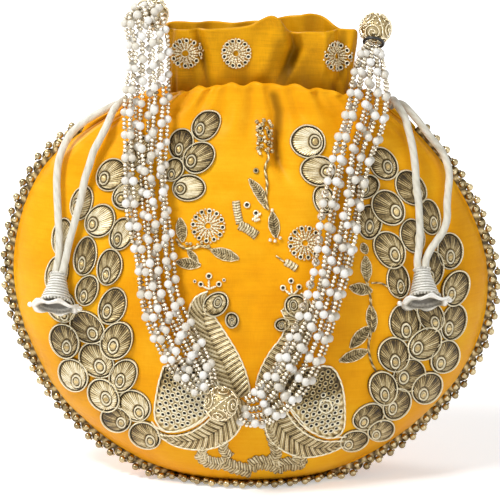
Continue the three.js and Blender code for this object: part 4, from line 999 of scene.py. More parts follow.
FRILL_FOLDS = [
    ([(195, 26), (199, 45), (204, 66), (210, 92)], 5, 4.2, 1.5),
    ([(170, 28), (167, 60), (165, 92)], 5, 3.0, 1),
    ([(292, 26), (296, 48), (288, 70), (276, 94)], 6.5, 7.0, 1),
    ([(276, 18), (280, 40), (268, 66), (254, 92)], 8, -3.6, 1),
    ([(341, 30), (340, 60), (344, 94)], 7, 4.6, 1.2),
    ([(323, 34), (323, 62), (320, 92)], 4.5, -2.4, 1),
    ([(220, 30), (226, 60), (240, 92)], 14, 1.0, 1),
    ([(306, 34), (308, 60), (304, 92)], 7, 1.2, 1),
    ([(352, 32), (354, 90)], 5, -1.5, 1),
    ([(182, 62), (190, 76), (196, 92)], 4, 2.2, 1),
    ([(330, 78), (334, 94)], 4, 2.0, 1),
]
FRONT_RIM = np.array([
    (150, -2.5), (165, -3.0), (185, -2.7), (205, -2.4), (225, -1.9), (250, -0.4), (262, 2.4), (272, 4.0),
    (279, 2.4), (284, -0.8), (292, -4.2), (305, -3.6), (320, -3.5), (345, -2.9), (355, -3.2)], float)
BACK_WALL = np.array([
    (150, 2.0), (168, 0.4), (190, 3.2), (212, 0.2), (232, 3.6), (252, 0.4), (268, 2.6), (286, -0.4),
    (304, 2.4), (322, 0.2), (340, 3.4), (354, 1.0)], float)
BACK_RIM = np.array([
    (150, -4.5), (170, -2.0), (200, -2.3), (250, -2.4), (275, -1.2), (300, 0.6), (312, 1.2), (328, -1.0),
    (345, -5.0), (354, -8.0)], float)
front_rim, back_wall, back_rim = through(FRONT_RIM, 1), through(BACK_WALL, 1), through(BACK_RIM, 1)


def frill_fold(column, row):
    """Depth of the frill's folds: depth * exp(-(distance / width)^2) from each line."""
    depth = np.zeros(np.shape(column))
    for line, width, deep, skew in FRILL_FOLDS:
        away, side, _ = along_line(line, column, row)
        depth += deep * np.exp(-(away / np.where(side < 0, width * skew, width / skew)) ** 2)
    return depth


def crumples(up, turn):
    """Slanting waves round the frill, strongest at half its height."""
    slanting = np.sin(9 * turn + 4.5 * up + 1.8 * np.sin(3 * turn + 1))
    small = np.sin(19 * turn - 7 * up + 2.2 * np.sin(5 * turn))
    return (0.5 * slanting + 0.3 * small + 0.8) * np.sin(math.pi * np.clip(up, 0, 1)) ** 0.7


def frill_half(up):
    """Half the frill's width at a share of its height, which grows with the share squared."""
    return NECK_HALF_WIDTH + (FRILL_HALF_WIDTH - NECK_HALF_WIDTH) * up * up


def frill_point(up, turn, deeper=0.0):
    """The frill: an oval that opens upwards, less its folds, which deepen towards the rim."""
    wide = frill_half(up)
    deep = NECK_HALF_DEPTH + (FRILL_HALF_DEPTH - NECK_HALF_DEPTH) * up * up
    z = FRILL_FOOT + (FRILL_HEIGHT - FRILL_FOOT) * up
    arch = HEM_ARCH * (1 - up)
    point, out = level(wide - NECK_SHIFT, wide + NECK_SHIFT, deep, deep, NECK_POWER, z, arch, turn)
    column, row = picture(point)
    ahead = smooth(np.cos(turn), -0.25, 0.25)
    side = 1 - np.abs(np.sin(turn)) ** 8
    fold = ahead * frill_fold(column, row) + 1.5 * (1 - ahead) * back_wall(column)
    rim = ahead * front_rim(column) + (1 - ahead) * back_rim(column)
    tight = 0.9 * np.sin(turn * 21) + 0.5 * np.sin(turn * 33 + 1)
    grow = smooth(up, 0.2, 0.85)
    depth = fold * grow * (0.35 + 0.65 * side) + tight * (1 - smooth(up, 0.15, 0.6)) * 0.6 + deeper
    depth = depth + crumples(up, turn)
    point = point - out * depth[..., None]
    point[..., 2] += rim * smooth(up, 0.45, 1.0)
    return point


def frill_cloth():
    """Points and tones: outside from the foot up, over a turned rim, and down inside. The tone is painted
    shade: dark at the foot, in the folds and in the crumples, and a little dark on the inside wall."""
    turns = np.linspace(0, 2 * math.pi, 320, endpoint=False)
    up, turn = np.meshgrid(np.linspace(0.12, 1, 56), turns, indexing="ij")
    outside = frill_point(up, turn)
    rim_up, rim_turn = np.meshgrid(np.ones(5), turns, indexing="ij")
    angle = np.linspace(0, math.pi, 7)[1:-1][:, None]
    rim = frill_point(rim_up, rim_turn, 0.9 * (1 - np.cos(angle)))
    rim[..., 2] += 0.9 * np.sin(angle)
    inner_up, inner_turn = np.meshgrid(np.linspace(1, 0.12, 50), turns, indexing="ij")
    inside_wall = frill_point(inner_up, inner_turn, 1.8)
    points = np.concatenate([outside, rim, inside_wall, outside[:1]])
    column, row = picture(outside)
    # Painted shade in the folds, at the foot and in the crumples.
    dark = 0.75 * smooth(frill_fold(column, row), 1.2, 5.5) * (np.cos(turn) > 0)
    dark = np.maximum(dark, 0.62 * (1 - smooth(up, 0.2, 0.62)))
    dark = np.clip(dark + 0.34 * (crumples(up, turn) - 0.75), 0, 0.8)
    rest = np.zeros((len(points) - len(dark), len(turns)))
    # Painted shade on the inside wall.
    rest[len(rim):-1] = 0.25
    return points, np.concatenate([dark, rest])


FRILL_UV = (186, 100)  # millimetres round it, and up and down again
frill_points, frill_painted_shade = frill_cloth()
frill = piece("frill_silk_painted_shade", outward(grid(frill_points, True, FRILL_UV, frill_painted_shade)), frill_silk_painted_shade, "bag",
              ["neck_frill"])


def lining_cloth():
    """A loose bag inside the pouch that rises in the neck: level rings with straight lines between them,
    and the same rings again a little further in."""
    turns = np.linspace(0, 2 * math.pi, 120, endpoint=False)
    rows = []
    for share, gathered in ((0.012, 0), (0.05, 0), (0.18, 0), (0.4, 0), (0.64, 0.02), (0.84, 1)):
        base, out = body_level(np.full_like(turns, share), turns)
        inward = 4.2 + 2.6 * gathered + np.where(np.cos(turns) > 0, 7.0 * gathered, 0)
        rows.append(base - out * (inward + (0 if rows else 1.0))[:, None])
    rows[0][:, 2] = 1.7
    for z, inward in ((153, 2.7), (166, 2.9), (180, 3.1)):
        point, out = neck_level(-inward, -inward, float(z), turns, HEM_ARCH * (z < 170))
        rows.append(point - out * (0.35 * np.sin(turns * 24) + 0.4)[:, None])
    rows = np.stack(rows)
    place = np.linspace(0, len(rows) - 1, 60)
    row = np.minimum(place.astype(int), len(rows) - 2)
    share = (place - row)[:, None, None]
    outer = rows[row] * (1 - share) + rows[row + 1] * share
    inner = outer[::-1].copy()
    inner[..., :2] *= 0.985
    inner[..., 2] += 0.7 * (1 - smooth(inner[..., 2], 150, 178)) + 0.02
    return np.concatenate([outer, inner])


lining_shape = outward(closed(lining_cloth(), (60, 120), 0.0))
piece("lining_cloth", lining_shape, lining, "bag", ["lining"])


# The beaded lace in the edge seam.

def seam_run(share, turn):
    """A place of the seam and the way out of the cloth there, which never leads under the ground."""
    step = 0.002
    at, _ = body_level(share, turn)
    up = body_level(share + step, turn)[0] - at
    sideways = body_level(share, turn + step)[0] - at
    out = unit(np.cross(sideways, up))
    lowest = (LACE_HEIGHT - at[..., 2]) / LACE_REACH
    out[..., 2] = np.maximum(out[..., 2], lowest)
    return at, unit(out)


def seam_places():
    """The seam from the left of the hem, down, along the base and up to the right of the hem."""
    low = LACE_HEIGHT / HEM_HEIGHT
    side = np.concatenate([np.linspace(0.93, 0.06, 160), np.linspace(0.058, low + 0.002, 40)])
    left = [(s, -float(seam_turn(s))) for s in side]
    edge = float(seam_turn(low))
    bottom = [(low, t) for t in np.linspace(-edge, edge, 120)]
    right = [(s, -t) for s, t in left[::-1]]
    rows = np.array(left + bottom + right)
    at, out = seam_run(rows[:, 0], rows[:, 1])
    return at, out, run_of(at)


seam_at, seam_out, seam_runs = seam_places()


def on_seam(run):
    """A place along the seam, the way out there, the way along and the way across."""
    at, out = at_run(run, seam_runs, seam_at), unit(at_run(run, seam_runs, seam_out))
    along = unit(at_run(run + 0.5, seam_runs, seam_at) - at_run(run - 0.5, seam_runs, seam_at))
    return at, out, along, unit(np.cross(along, out))


LACE_ROWS = ((0.0, 2.1), (0.5, 4.5))  # a row's start in its pitch, and how far out it lies
LACE_CAP, LACE_GAP = 0.55, 0.25  # the small bead after each, and the gap before it


def bead_lace():
    """A ribbon from the seam with a scalloped edge, |cos| in a bead's pitch, and two staggered rows of
    beads on it, each bead with a small one beside it."""
    total = seam_runs[-1]
    beads = round(total / LACE_PITCH)
    run = np.linspace(0, total, beads * 8 + 1)
    at, out, along, across = on_seam(run)
    edge = 2.4 + 1.9 * np.abs(np.cos(math.pi * run / total * beads))
    foot, middle, rim = at - 0.9 * out, at + 0.6 * out, at + edge[:, None] * out
    section = [foot - 0.25 * across, middle - 0.34 * across, rim - 0.26 * across,
               rim + 0.26 * across, middle + 0.34 * across, foot + 0.25 * across]
    # The ribbon, a real part, is given a dark khaki tone, 0.4, as painted shade for the gaps between the
    # beads.
    ribbon = outward(closed(np.stack(section, 1), (1.0, total / 1.3), 0.4))
    parts = []
    for start, reach in LACE_ROWS:
        runs = (np.arange(beads) + start) / beads * total + rng.normal(0, 0.14, beads)
        at, out, along, across = on_seam(runs)
        centres = at + out * (reach + rng.normal(0, 0.09, beads))[:, None] \
            + across * rng.normal(0, 0.1, beads)[:, None]
        centres[:, 2] = np.maximum(centres[:, 2], BEAD_RADIUS + 0.12)
        sizes = BEAD_RADIUS * rng.uniform(0.96, 1.02, beads)
        frames = np.stack([along, out, across], -1)
        parts.append(repeated(ball(4), centres, frames, sizes, rng.uniform(0.3, 0.9, beads)))
        caps = centres + along * (BEAD_RADIUS + LACE_GAP)
        parts.append(repeated(ball(2), caps, frames, LACE_CAP, rng.uniform(0.2, 0.6, beads)))
    return ribbon, joined(parts)


ribbon, lace_beads = bead_lace()
piece("lace_ribbon", ribbon, gold_thread, "bag", ["bead_lace"])
piece("lace_beads", lace_beads, gold_beads, "bag", ["bead_lace"])


# The handle.

LEFT_BALL, RIGHT_BALL = np.array([-42.6, -10.2, 206.0]), np.array([54.0, -1.5, 198.0])
PART_GAP, EMBROIDERY_HEIGHT = 0.3, 1.5
STRAND_LIFT = PART_GAP + EMBROIDERY_HEIGHT + PART_GAP + PEARL_RADIUS
LEFT_ROUTE = [(152, 118), (152, 150), (155, 200), (160, 250), (167, 300), (184, 340), (201, 368)]
RIGHT_ROUTE = [(358, 128), (350, 152), (341, 200), (334, 240), (325, 280), (313, 318), (298, 352),
               (281, 381), (258, 402)]
CENTRE_PLACE = (223.5, 393.0)
HANG_COLUMNS = {"left": 151, "right": 366}
LEFT_MOUTH = np.array([-0.42, -0.86, 0.3])  # the way the left ball's mouth faces


def panel_turn(x, rise):
    """Share and turn of the front's place at x that shows at a height: the share is moved until it fits."""
    x, rise = np.broadcast_arrays(np.asarray(x, float), np.asarray(rise, float))
    share = np.full(x.shape, 0.5)
    for _ in range(40):
        half = HALF_WIDTH * np.where(x < 0, left_at(share), right_at(share))
        turn = np.arcsin(np.clip(x / half, -0.985, 0.985))
        share = share + 0.8 * (rise - risen(body_point(share, turn))) / HEM_HEIGHT
        share = np.clip(share, LACE_HEIGHT / HEM_HEIGHT, 1)
    return share, turn


def body_point(share, turn):
    return body_level(share, turn)[0]


def way_out(surface, share, turn, step=0.004):
    """The way out of a surface of share and turn: the crossed differences on both sides of a place."""
    across = surface(share, turn + step) - surface(share, turn - step)
    return unit(np.cross(across, surface(share + step, turn) - surface(share - step, turn)))


def on_front(column, row, surface=front_point):
    """The point of a front surface at a column and row of the photograph, and the way out there."""
    column, row = np.asarray(column, float), np.asarray(row, float)
    share, turn = panel_turn((column - PICTURE_MIDDLE) * PIXEL, (PICTURE_FLOOR - row) * PIXEL)
    return surface(share, turn), way_out(surface, share, turn)


def over_belly(column, row, lift):
    """A point over the smooth outline of the front."""
    at, out = on_front(column, row, body_point)
    return at + out * lift


CENTRE = over_belly(*CENTRE_PLACE, STRAND_LIFT - PEARL_RADIUS + CENTRE_BALL)


def bundle_line(top, side, route):
    """The middle of a bundle of strands: from its ball over the hem, down the belly to the centre ball."""
    hem, _ = neck_level(HEM_OUT, HEM_SIDE_OUT, HEM_HEIGHT, np.array(0.0))
    ahead = -0.78 * abs(hem[1]) - STRAND_LIFT
    hang = (HANG_COLUMNS[side] - PICTURE_MIDDLE) * PIXEL
    second = np.array([hang, ahead, HEM_HEIGHT + 0.6 * HEM_ARCH])
    if side == "left":
        start = [top + LEFT_MOUTH * 8.6, top + (-2.6, -11.8, -1.5), top + (-0.8, -12.2, -11.0)]
    else:
        start = [top + (second + (0, 0, 4) - top) * (0.5, 0.45, 0.45)]
    lying = over_belly(*np.array(route, float).T, STRAND_LIFT)
    return np.concatenate([[top], start, [second], lying, [CENTRE]])


# Where a strand lies across its bundle and over its lowest layer, in millimetres.
STRAND_PLACES = [(-7.8, 0.0), (-3.8, 0.0), (0.2, 0.0), (7.9, 0.0), (-5.8, 3.3), (-1.8, 3.4), (2.2, 3.0),
                 (-9.0, 2.6), (4.1, 0.0), (6.1, 2.9)]
GATHERS = {"left": (0.95, 0.75), "right": (0.5, 0.85)}  # how close they come at each ball


def strand(side, index, line_points):
    """One strand: the bundle's line moved across and out, wandering among the others, and drawn together
    near both balls."""
    line, length, along = spaced_line(line_points, 240)
    share = np.linspace(0, 1, 241)
    from_end, from_centre = share * length - END_BALL, (1 - share) * length - CENTRE_BALL
    near = np.minimum(from_end, from_centre)
    top, foot = GATHERS[side]
    spread = 1 - (1 - top) * (1 - smooth(from_end, 0, 22)) - (1 - foot) * (1 - smooth(from_centre, 0, 20))
    spread = spread * (0.55 + 0.45 * smooth(near, 0, 6))
    ahead = unit(np.stack([line[:, 0] / (2 * HALF_WIDTH), -np.ones(len(line)), np.zeros(len(line))], -1))
    sideways = unit(np.cross(ahead, along))
    outwards = np.cross(along, sideways)
    across, out = STRAND_PLACES[index]
    phase = index * 1.9 + (0.7 if side == "right" else 0)
    wander = smooth(near, 4, 40)
    drift = 0.9 * np.sin(share * 9.5 + phase) + 0.55 * np.sin(share * 23 + 2.3 * phase)
    across = across + wander * drift
    out = out + wander * 0.6 * np.abs(np.sin(share * 12 + 1.3 * phase))
    moved = line + sideways * (across * spread)[:, None] + outwards * (out * spread)[:, None]
    keep = (share * length > END_BALL + 0.3) & ((1 - share) * length > CENTRE_BALL + 0.3)
    return moved[keep]


BETWEEN = np.array([-1, 0, 1])  # the small beads between two pearls


def threaded(line, start):
    """Pearls with small beads between them, spaced along a line from a share of the pattern: the places of
    each and the ways along there."""
    runs = run_of(line)
    pitch = 2 * PEARL_RADIUS + 6 * SMALL_RADIUS + 0.8
    repeats = (np.arange(-1, int(runs[-1] / pitch) + 2) + start) * pitch
    between = (repeats[:, None] + pitch / 2 + BETWEEN * 2.08 * SMALL_RADIUS).ravel()
    found = []
    for places, radius in ((repeats, PEARL_RADIUS), (between, SMALL_RADIUS)):
        places = places[(places > radius) & (places < runs[-1] - radius)]
        ahead = at_run(np.minimum(places + 0.6, runs[-1]), runs, line)
        found += [at_run(places, runs, line), unit(ahead - at_run(np.maximum(places - 0.6, 0), runs, line))]
    return found


def handle_strands():
    for side, top, route in (("left", LEFT_BALL, LEFT_ROUTE), ("right", RIGHT_BALL, RIGHT_ROUTE)):
        line_points = bundle_line(top, side, route)
        pearls, smalls, threads = [], [], []
        for index in range(len(STRAND_PLACES)):
            line = strand(side, index, line_points)
            at, along, small_at, small_along = threaded(line, (index * 0.37 + 0.2) % 1)
            count = len(at)
            sizes = PEARL_RADIUS * rng.uniform(0.84, 0.98, count)
            pearls.append(repeated(ball(4), at, frames_along(along), sizes, rng.uniform(0.2, 0.9, count)))
            count = len(small_at)
            stretch = [rng.uniform(*reach, count) for reach in ((0.95, 1.05), (1.15, 1.35), (1.15, 1.35))]
            smalls.append(repeated(ball(3), small_at, frames_along(small_along),
                                   SMALL_RADIUS * np.stack(stretch, 1), rng.uniform(0.2, 0.9, count)))
            thin, _, way = spaced_line(line[::12], 60)
            threads.append(tube(thin, way, THREAD_RADIUS, 5))
        nodes = [f"{side}_strand_{i + 1}" for i in range(6)]
        piece(f"{side}_pearls", joined(pearls), pearl, "handle", nodes)
        piece(f"{side}_small_beads", joined(smalls), silver_beads, "handle", nodes)
        piece(f"{side}_threads", joined(threads), ivory_cord, "handle", nodes)


handle_strands()


def circle_about(axis, away, a):
    """Ways out at angles from an axis: cos(away) * axis + sin(away) * (cos a * side + sin a * third)."""
    frame = frames_along(np.array(axis, float)[None], (0.3, -0.8, 0.5))[0]
    away, a = np.broadcast_to(away, a.shape)[:, None], a[:, None]
    return np.cos(away) * frame[:, 0] + np.sin(away) * (np.cos(a) * frame[:, 1] + np.sin(a) * frame[:, 2])


def toned(shape, tone):
    shape["tone"] = np.full(len(shape["points"]), tone)
    return shape


def wire(line, radius, sides=6, tone=0.6):
    return toned(tube(line, unit(np.gradient(line, axis=0)), radius, sides, up=(0.37, -0.61, 0.7)), tone)


def loop(centre, radius, axis, away, sides=6, thick=0.32, count=40):
    """A wire circle on a ball, at an angle from its axis."""
    out = circle_about(axis, away, np.linspace(0, 2 * math.pi, count, endpoint=False))
    side = unit(np.cross(np.roll(out, -1, 0) - np.roll(out, 1, 0), unit(out)))
    b = np.linspace(0, 2 * math.pi, sides, endpoint=False)[None, :, None]
    section = thick * (np.cos(b) * unit(out)[:, None] + np.sin(b) * side[:, None])
    return ring_shape(centre + radius * out[:, None] + section, 0.7)


GORES = np.array([(x, y, z) for x in (-1, 1) for y in (-1, 1) for z in (-1, 1)], float)


def filigree_ball(centre, radius, axis):
    """Scrolls of wire and rings of grains over a dark ball, in eight gores between two collars. A scroll's
    angle from its gore's middle grows as it turns."""
    frame = frames_along(np.array(axis, float)[None], (0.3, -0.8, 0.5))[0]
    scroll = np.linspace(0.04, 1, 38)
    parts, grains = [], []
    for i, pole in enumerate(unit(GORES) @ frame.T):
        winding = circle_about(pole, 0.58 * scroll, i * 0.8 + 2 * math.pi * 2.2 * scroll)
        parts.append(wire(centre + (radius - 0.15) * winding, 0.27))
        ring = circle_about(pole, 0.64, np.linspace(0, 2 * math.pi, 14, endpoint=False) + i)
        grains += [centre + (radius - 0.1) * ring, (centre + radius * pole)[None]]
    grains = np.concatenate(grains)
    count = len(grains)
    parts.append(repeated(ball(2), grains, np.repeat(np.eye(3)[None], count, 0), 0.42,
                          rng.uniform(0.4, 0.9, count)))
    for away in (0.32, math.pi - 0.32):
        parts.append(loop(centre, radius - 0.1, axis, away, thick=0.42))
    for direction in (frame[:, 1], frame[:, 2]):
        parts.append(loop(centre, radius - 0.2, direction, math.pi / 2, thick=0.26, count=56))
    core = repeated(ball(8), centre[None], np.eye(3)[None], radius - 0.75, [0.4])
    return joined(parts), core


BALLS = {
    "left": (LEFT_BALL, END_BALL, "left_handle_ball", (0.1, -0.55, -0.83)),
    "right": (RIGHT_BALL, END_BALL, "right_handle_ball", (0.35, -0.6, -0.7)),
    "centre": (CENTRE, CENTRE_BALL, "centre_ball", (0.8, 0.1, 0.6)),
}
for side, (centre, radius, node, axis) in BALLS.items():
    wires, core = filigree_ball(centre, radius, axis)
    piece(f"{side}_ball_wires", wires, filigree, "handle", [node])
    piece(f"{side}_ball_core", core, dark_gold, "handle", [node])

RING_THICKNESS = 0.65  # the radius of a mouth ring's wire
for side, top, route, mouth, material, slot in (
        ("left", LEFT_BALL, LEFT_ROUTE, 4.6, filigree, "filigree_gold"),
        ("right", RIGHT_BALL, RIGHT_ROUTE, 4.2, black, "black_ring")):
    toward = unit(bundle_line(top, side, route)[1] - top)
    seat = math.sqrt((END_BALL + PART_GAP + RING_THICKNESS) ** 2 - mouth ** 2)
    ring = loop(top + toward * seat, mouth, toward, math.pi / 2, 12, RING_THICKNESS, 48)
    piece(f"{side}_ball_mouth", ring, material, "handle", [f"{side}_mouth_ring"])


# Embroidery. Its pieces are drawn in columns and rows of the photograph, with a height over the cloth, and
# then laid on it.

class Net:
    """A surface's points and ways out on an even net of columns and rows, blended between its knots."""

    def __init__(self, surface, columns, rows, step=1.5):
        self.first, self.step = np.array([columns[0], rows[0]], float), step
        c, r = np.meshgrid(np.arange(*columns, step), np.arange(*rows, step), indexing="ij")
        self.at, self.out = surface(c, r)

    def __call__(self, points):
        """The points of rows of column, row and height. The ways out there stay in way."""
        place = (points[..., :2] - self.first) / self.step
        limit = np.array(self.at.shape[:2]) - 2
        low = np.clip(np.floor(place).astype(int), 0, limit)
        share = np.clip(place - low, 0, 1)
        at, out = 0.0, 0.0
        for i in (0, 1):
            for j in (0, 1):
                weight = (np.abs(1 - i - share[..., 0]) * np.abs(1 - j - share[..., 1]))[..., None]
                at = at + weight * self.at[low[..., 0] + i, low[..., 1] + j]
                out = out + weight * self.out[low[..., 0] + i, low[..., 1] + j]
        self.way = unit(out)
        return at + self.way * points[..., 2:3]


def on_frill(column, row):
    """As on_front, for the frill's front wall: its share of the height is moved until it fits."""
    x, rise = (column - PICTURE_MIDDLE) * PIXEL, (PICTURE_FLOOR - row) * PIXEL
    up = np.full(x.shape, 0.6)
    for _ in range(30):
        wide = frill_half(up)
        half = np.where(x < 0, wide - NECK_SHIFT, wide + NECK_SHIFT)
        turn = np.arcsin(np.clip(x / half, -0.97, 0.97))
        up = up + 0.8 * (rise - risen(frill_point(up, turn))) / (FRILL_HEIGHT - FRILL_FOOT)
        up = np.clip(up, 0.1, 1)
    return frill_point(up, turn), way_out(frill_point, up, turn)


def as_seen(surface):
    """The surface's point that the camera sees at a column and row: nearer points are drawn towards the
    middle of the picture by their distance from its plane."""
    def at(column, row):
        near, _ = surface(column, row)
        aim = (PICTURE_FLOOR - PICTURE_CENTRE[1]) * PIXEL / math.cos(TILT)
        ahead = (near[..., 2] - aim) * math.sin(TILT) - near[..., 1] * math.cos(TILT)
        smaller = 1 - ahead / DISTANCE
        return surface(PICTURE_CENTRE[0] + (column - PICTURE_CENTRE[0]) * smaller,
                       PICTURE_CENTRE[1] + (row - PICTURE_CENTRE[1]) * smaller)
    return at


front_net = Net(as_seen(on_front), (8, 496), (92, 486))
frill_net = Net(as_seen(on_frill), (156, 360), (26, 98))


def oval(centre, half, lean, turns, seed):
    """An oval with its half sizes kept: x = wide cos a, y = high sin(a + lean), slightly uneven."""
    uneven = 1 + 0.018 * np.sin(2 * turns + seed) + 0.014 * np.sin(3 * turns + 2 * seed)
    return centre + half * np.stack([np.cos(turns), np.sin(turns + lean)], -1) * uneven[:, None]


# An eye's rows: share of its oval, height and tone. A coiled middle, a gap, a cord round it and a gap. The
# tone is near black in the gaps, painted shade, and lightest on the cord's top, painted light.
EYE_ROWS = [(0.03, 1.35, 0.8), (0.25, 1.4, 0.55), (0.42, 1.25, 0.8), (0.55, 0.95, 0.4), (0.64, 0.6, 0.0),
            (0.7, 0.9, 0.7), (0.78, 1.3, 1.0), (0.9, 1.3, 1.0), (0.98, 0.9, 0.75), (1.05, 0.45, 0.0),
            (1.13, 0.6, 0.25)]
# The edge's rows: pixels inside the outline, height and tone. A gap, then the cord that rings the petal. The
# tone is near black in the gap and dark at the outer foot, painted shade, and lightest on the cord's top,
# painted light.
EDGE_ROWS = [(3.1, 0.5, 0.3), (2.6, 0.25, 0.0), (2.0, 0.3, 0.02), (1.7, 0.75, 0.7), (1.35, 1.0, 0.95),
             (0.85, 1.0, 0.95), (0.45, 0.7, 0.7), (0.1, 0.3, 0.25), (0.25, 0.03, 0.1)]
STITCH_ROWS = (0.12, 0.3, 0.5, 0.7, 0.88)  # shares of the way from the eye to the edge
PETAL_TURNS = 60


def petal_frame(rows):
    """A petal's middle, its half sizes, and the way to its eye, at most half as long as they are."""
    column, row, wide, high, eye_column, eye_row = rows
    centre, half = np.array([column, row], float), np.array([wide, high], float) + 0.2
    away = (np.array([eye_column, eye_row]) - centre) / half
    away *= min(1, 0.5 / max(np.linalg.norm(away), 1e-6))
    return centre, half, away * half


def petal(rows, net, seed, shade, raised=0.0):
    """Satin stitches that run from an eye to a corded outline, over a low pad."""
    centre, half, (dx, dy) = petal_frame(rows)
    eye = centre + (dx, dy)
    lean = math.asin(0.55 * 2 * dx * dy / (2 * (dx * dx + dy * dy) + 8))
    turns = np.linspace(0, 2 * math.pi, PETAL_TURNS, endpoint=False)
    ring = oval(eye, np.array([0.31 * rows[2], 0.37 * rows[3] + 0.5]), lean * 0.8, turns, seed + 1)
    made = [(eye + (ring - eye) * share, height, tone) for share, height, tone in EYE_ROWS]
    inner, outer = made[-1][0], oval(centre, half - EDGE_ROWS[0][0], lean, turns, seed)
    toward = np.cos(turns - math.atan2(-dy, -dx))
    for t in STITCH_ROWS:
        height = 0.62 + 0.5 * math.sin(math.pi * (0.3 + 0.6 * t)) + 0.06 * np.sin(turns * 15 + 9 * t)
        tone = shade + 0.07 + 0.2 * (0.5 - t) - 0.16 * toward * t \
            + 0.12 * np.sin(turns * 7 + seed * 3 + 2 * t) + 0.09 * np.sin(turns * 17 + seed)
        made.append((inner + (outer - inner) * t, height, tone))
    made += [(oval(centre, half - inset, lean, turns, seed), height, tone)
             for inset, height, tone in EDGE_ROWS]
    lines, heights, tones = zip(*made)
    heights, tones = (np.stack([np.broadcast_to(value, turns.shape) for value in values])
                      for values in (heights, tones))
    heights[:-1] += raised
    points = np.concatenate([np.stack(lines), heights[..., None]], -1)
    shape = closed(net(points), (34.0, 1.0), np.clip(tones, 0, 1))
    stitches = shape["uvs"][0].reshape(len(lines) - 1, PETAL_TURNS, 4, 2)
    stitches[-len(EDGE_ROWS) + 1:] *= (2, 14)
    stitches[:len(EYE_ROWS), :, :, 1] *= 10
    return outward(shape)


LAYER = 0.42  # how much higher a petal lies on the one under it


def layers(rows):
    """The height of each petal: the lowest layer that none of the earlier petals that it meets lies in."""
    found = []
    for i, (column, row, wide, high, *_) in enumerate(rows):
        met = {found[j] for j, (c, r, w, h, *_) in enumerate(rows[:i])
               if math.hypot((column - c) / (wide + w), (row - r) / (high + h)) < 1.04}
        found.append(min(set(range(5)) - met))
    return LAYER * np.array(found)


def petals(rows, shades):
    return [petal(r, front_net, 1.7 * i + r[0] * 0.1, shades[i % len(shades)], raised)
            for i, (r, raised) in enumerate(zip(rows, layers(rows)))]


def eye_coils(rows):
    """The gold coils at the middle of the eyes: flat balls on the petals."""
    made = []
    for i, (r, raised) in enumerate(zip(rows, layers(rows))):
        centre, _, away = petal_frame(r)
        at = front_net(np.append(centre + away, 1.2 + raised)[None])
        size = PIXEL * np.array([[0.9, 0.14 * r[2], 0.15 * r[3] + 0.2]])
        made.append(repeated(ball(5), at, frames_along(front_net.way), size, [0.35 + 0.3 * (i % 2)]))
    return made


def band(left, right, stitches, net, slant=1.2, rise=1.1, tone=0.55, dark=0.0, vein=0.3, across=21):
    """V stitches between two edges: lines of equal s * stitches + slant * |w| are stitches, raised in the
    middle. The tone is dark in the gaps between them and along the middle line, painted shade."""
    rows = int(stitches * 7)
    left, _, _ = spaced_line(left, rows)
    right, _, _ = spaced_line(right, rows)
    w = np.concatenate([np.linspace(-1, 1, across), [0.6, 0, -0.6]])
    s = np.linspace(0, 1, rows + 1)[:, None]
    phase = s * stitches + slant * np.abs(w)
    crest = np.abs(np.sin(math.pi * phase)) ** 0.6
    top = np.arange(len(w)) < across
    mound = np.sqrt(np.clip(1 - (0.96 * w) ** 2, 0, 1)) * (1 - vein * np.exp(-(w / 0.09) ** 2))
    ends = np.minimum(1, 12 * np.minimum(s, 1 - s) + 0.15)
    height = np.where(top, 0.18 + (rise - 0.18) * mound * (0.55 + 0.45 * crest) * ends, 0.04)
    flat = left[:, None] + (right - left)[:, None] * ((w + 1) / 2)[None, :, None]
    points = np.concatenate([flat, height[..., None]], -1)
    streaks = 0.12 * np.sin(phase * 2.1 + 3 * w) * crest
    # Painted shade: dark in the gaps between stitches and along the middle line.
    shade = dark + (tone - dark) * crest + streaks - 0.2 * np.exp(-(w / 0.06) ** 2)
    return outward(closed(net(points), (3.0 * phase, 0 * phase), np.clip(shade, 0, 1)))


def raised_to(places, height):
    """Places of column and row, with a height over the cloth."""
    places = np.array(places, float)
    return np.concatenate([places, np.full((len(places), 1), height)], -1)


def cord_line(points, net, radius=0.42, lift=0.15, tone=0.95, ring=False):
    """A couched cord: a twisted tube on a smooth line."""
    points = np.array([*points, points[0]] if ring else points, float)
    flat, _, _ = spaced_line(points, max(8, int(line_length(points) / 1.6)))
    line = net(raised_to(flat, lift + radius))
    return toned(tube(line, unit(np.gradient(line, axis=0)), radius, 8, line_length(line) / 1.3), tone)


def cord_ring(middle, reach, net, radius, **more):
    a = np.linspace(0, 2 * math.pi, 8, endpoint=False)
    return cord_line(middle + reach * heading(a), net, radius, ring=True, **more)


def heading(a):
    return np.stack([np.cos(a), np.sin(a)], -1)


def path_band(points, width, net, stitches=None, scallop=0.0, **more):
    """A band on a line, both edges half a width from it, with a scallop |sin| for every two stitches."""
    line, length, along = spaced_line(points, 40)
    stitches = stitches or max(4, int(length / 2.6))
    s = np.linspace(0, 1, 41)[:, None]
    half = width / 2 * (1 + scallop * np.abs(np.sin(math.pi * s * stitches / 2)))
    normal = np.stack([along[:, 1], -along[:, 0]], -1)
    return band(line - normal * half, line + normal * half, stitches, net, **more)


def leaf(start, end, width, net, bow, tone):
    """A pointed leaf with a vein: half width * sin(pi s)^0.75 about a bowed line."""
    start, end = np.array(start, float), np.array(end, float)
    s = np.linspace(0, 1, 25)[:, None]
    normal = unit(np.array([end[1] - start[1], start[0] - end[0]]))
    line = start + (end - start) * s + normal * bow * np.sin(math.pi * s)
    half = 0.3 + width / 2 * np.sin(math.pi * np.clip(s, 0.01, 0.99)) ** 0.75
    stitches = max(5, round(np.linalg.norm(end - start) / 2.3))
    left, right = line - normal * half, line + normal * half
    edges = [cord_line(edge[::4], net, 0.24, 0.1, 0.75) for edge in (left, right)]
    return [band(left, right, stitches, net, rise=0.8, tone=tone + 0.16, across=13), *edges]


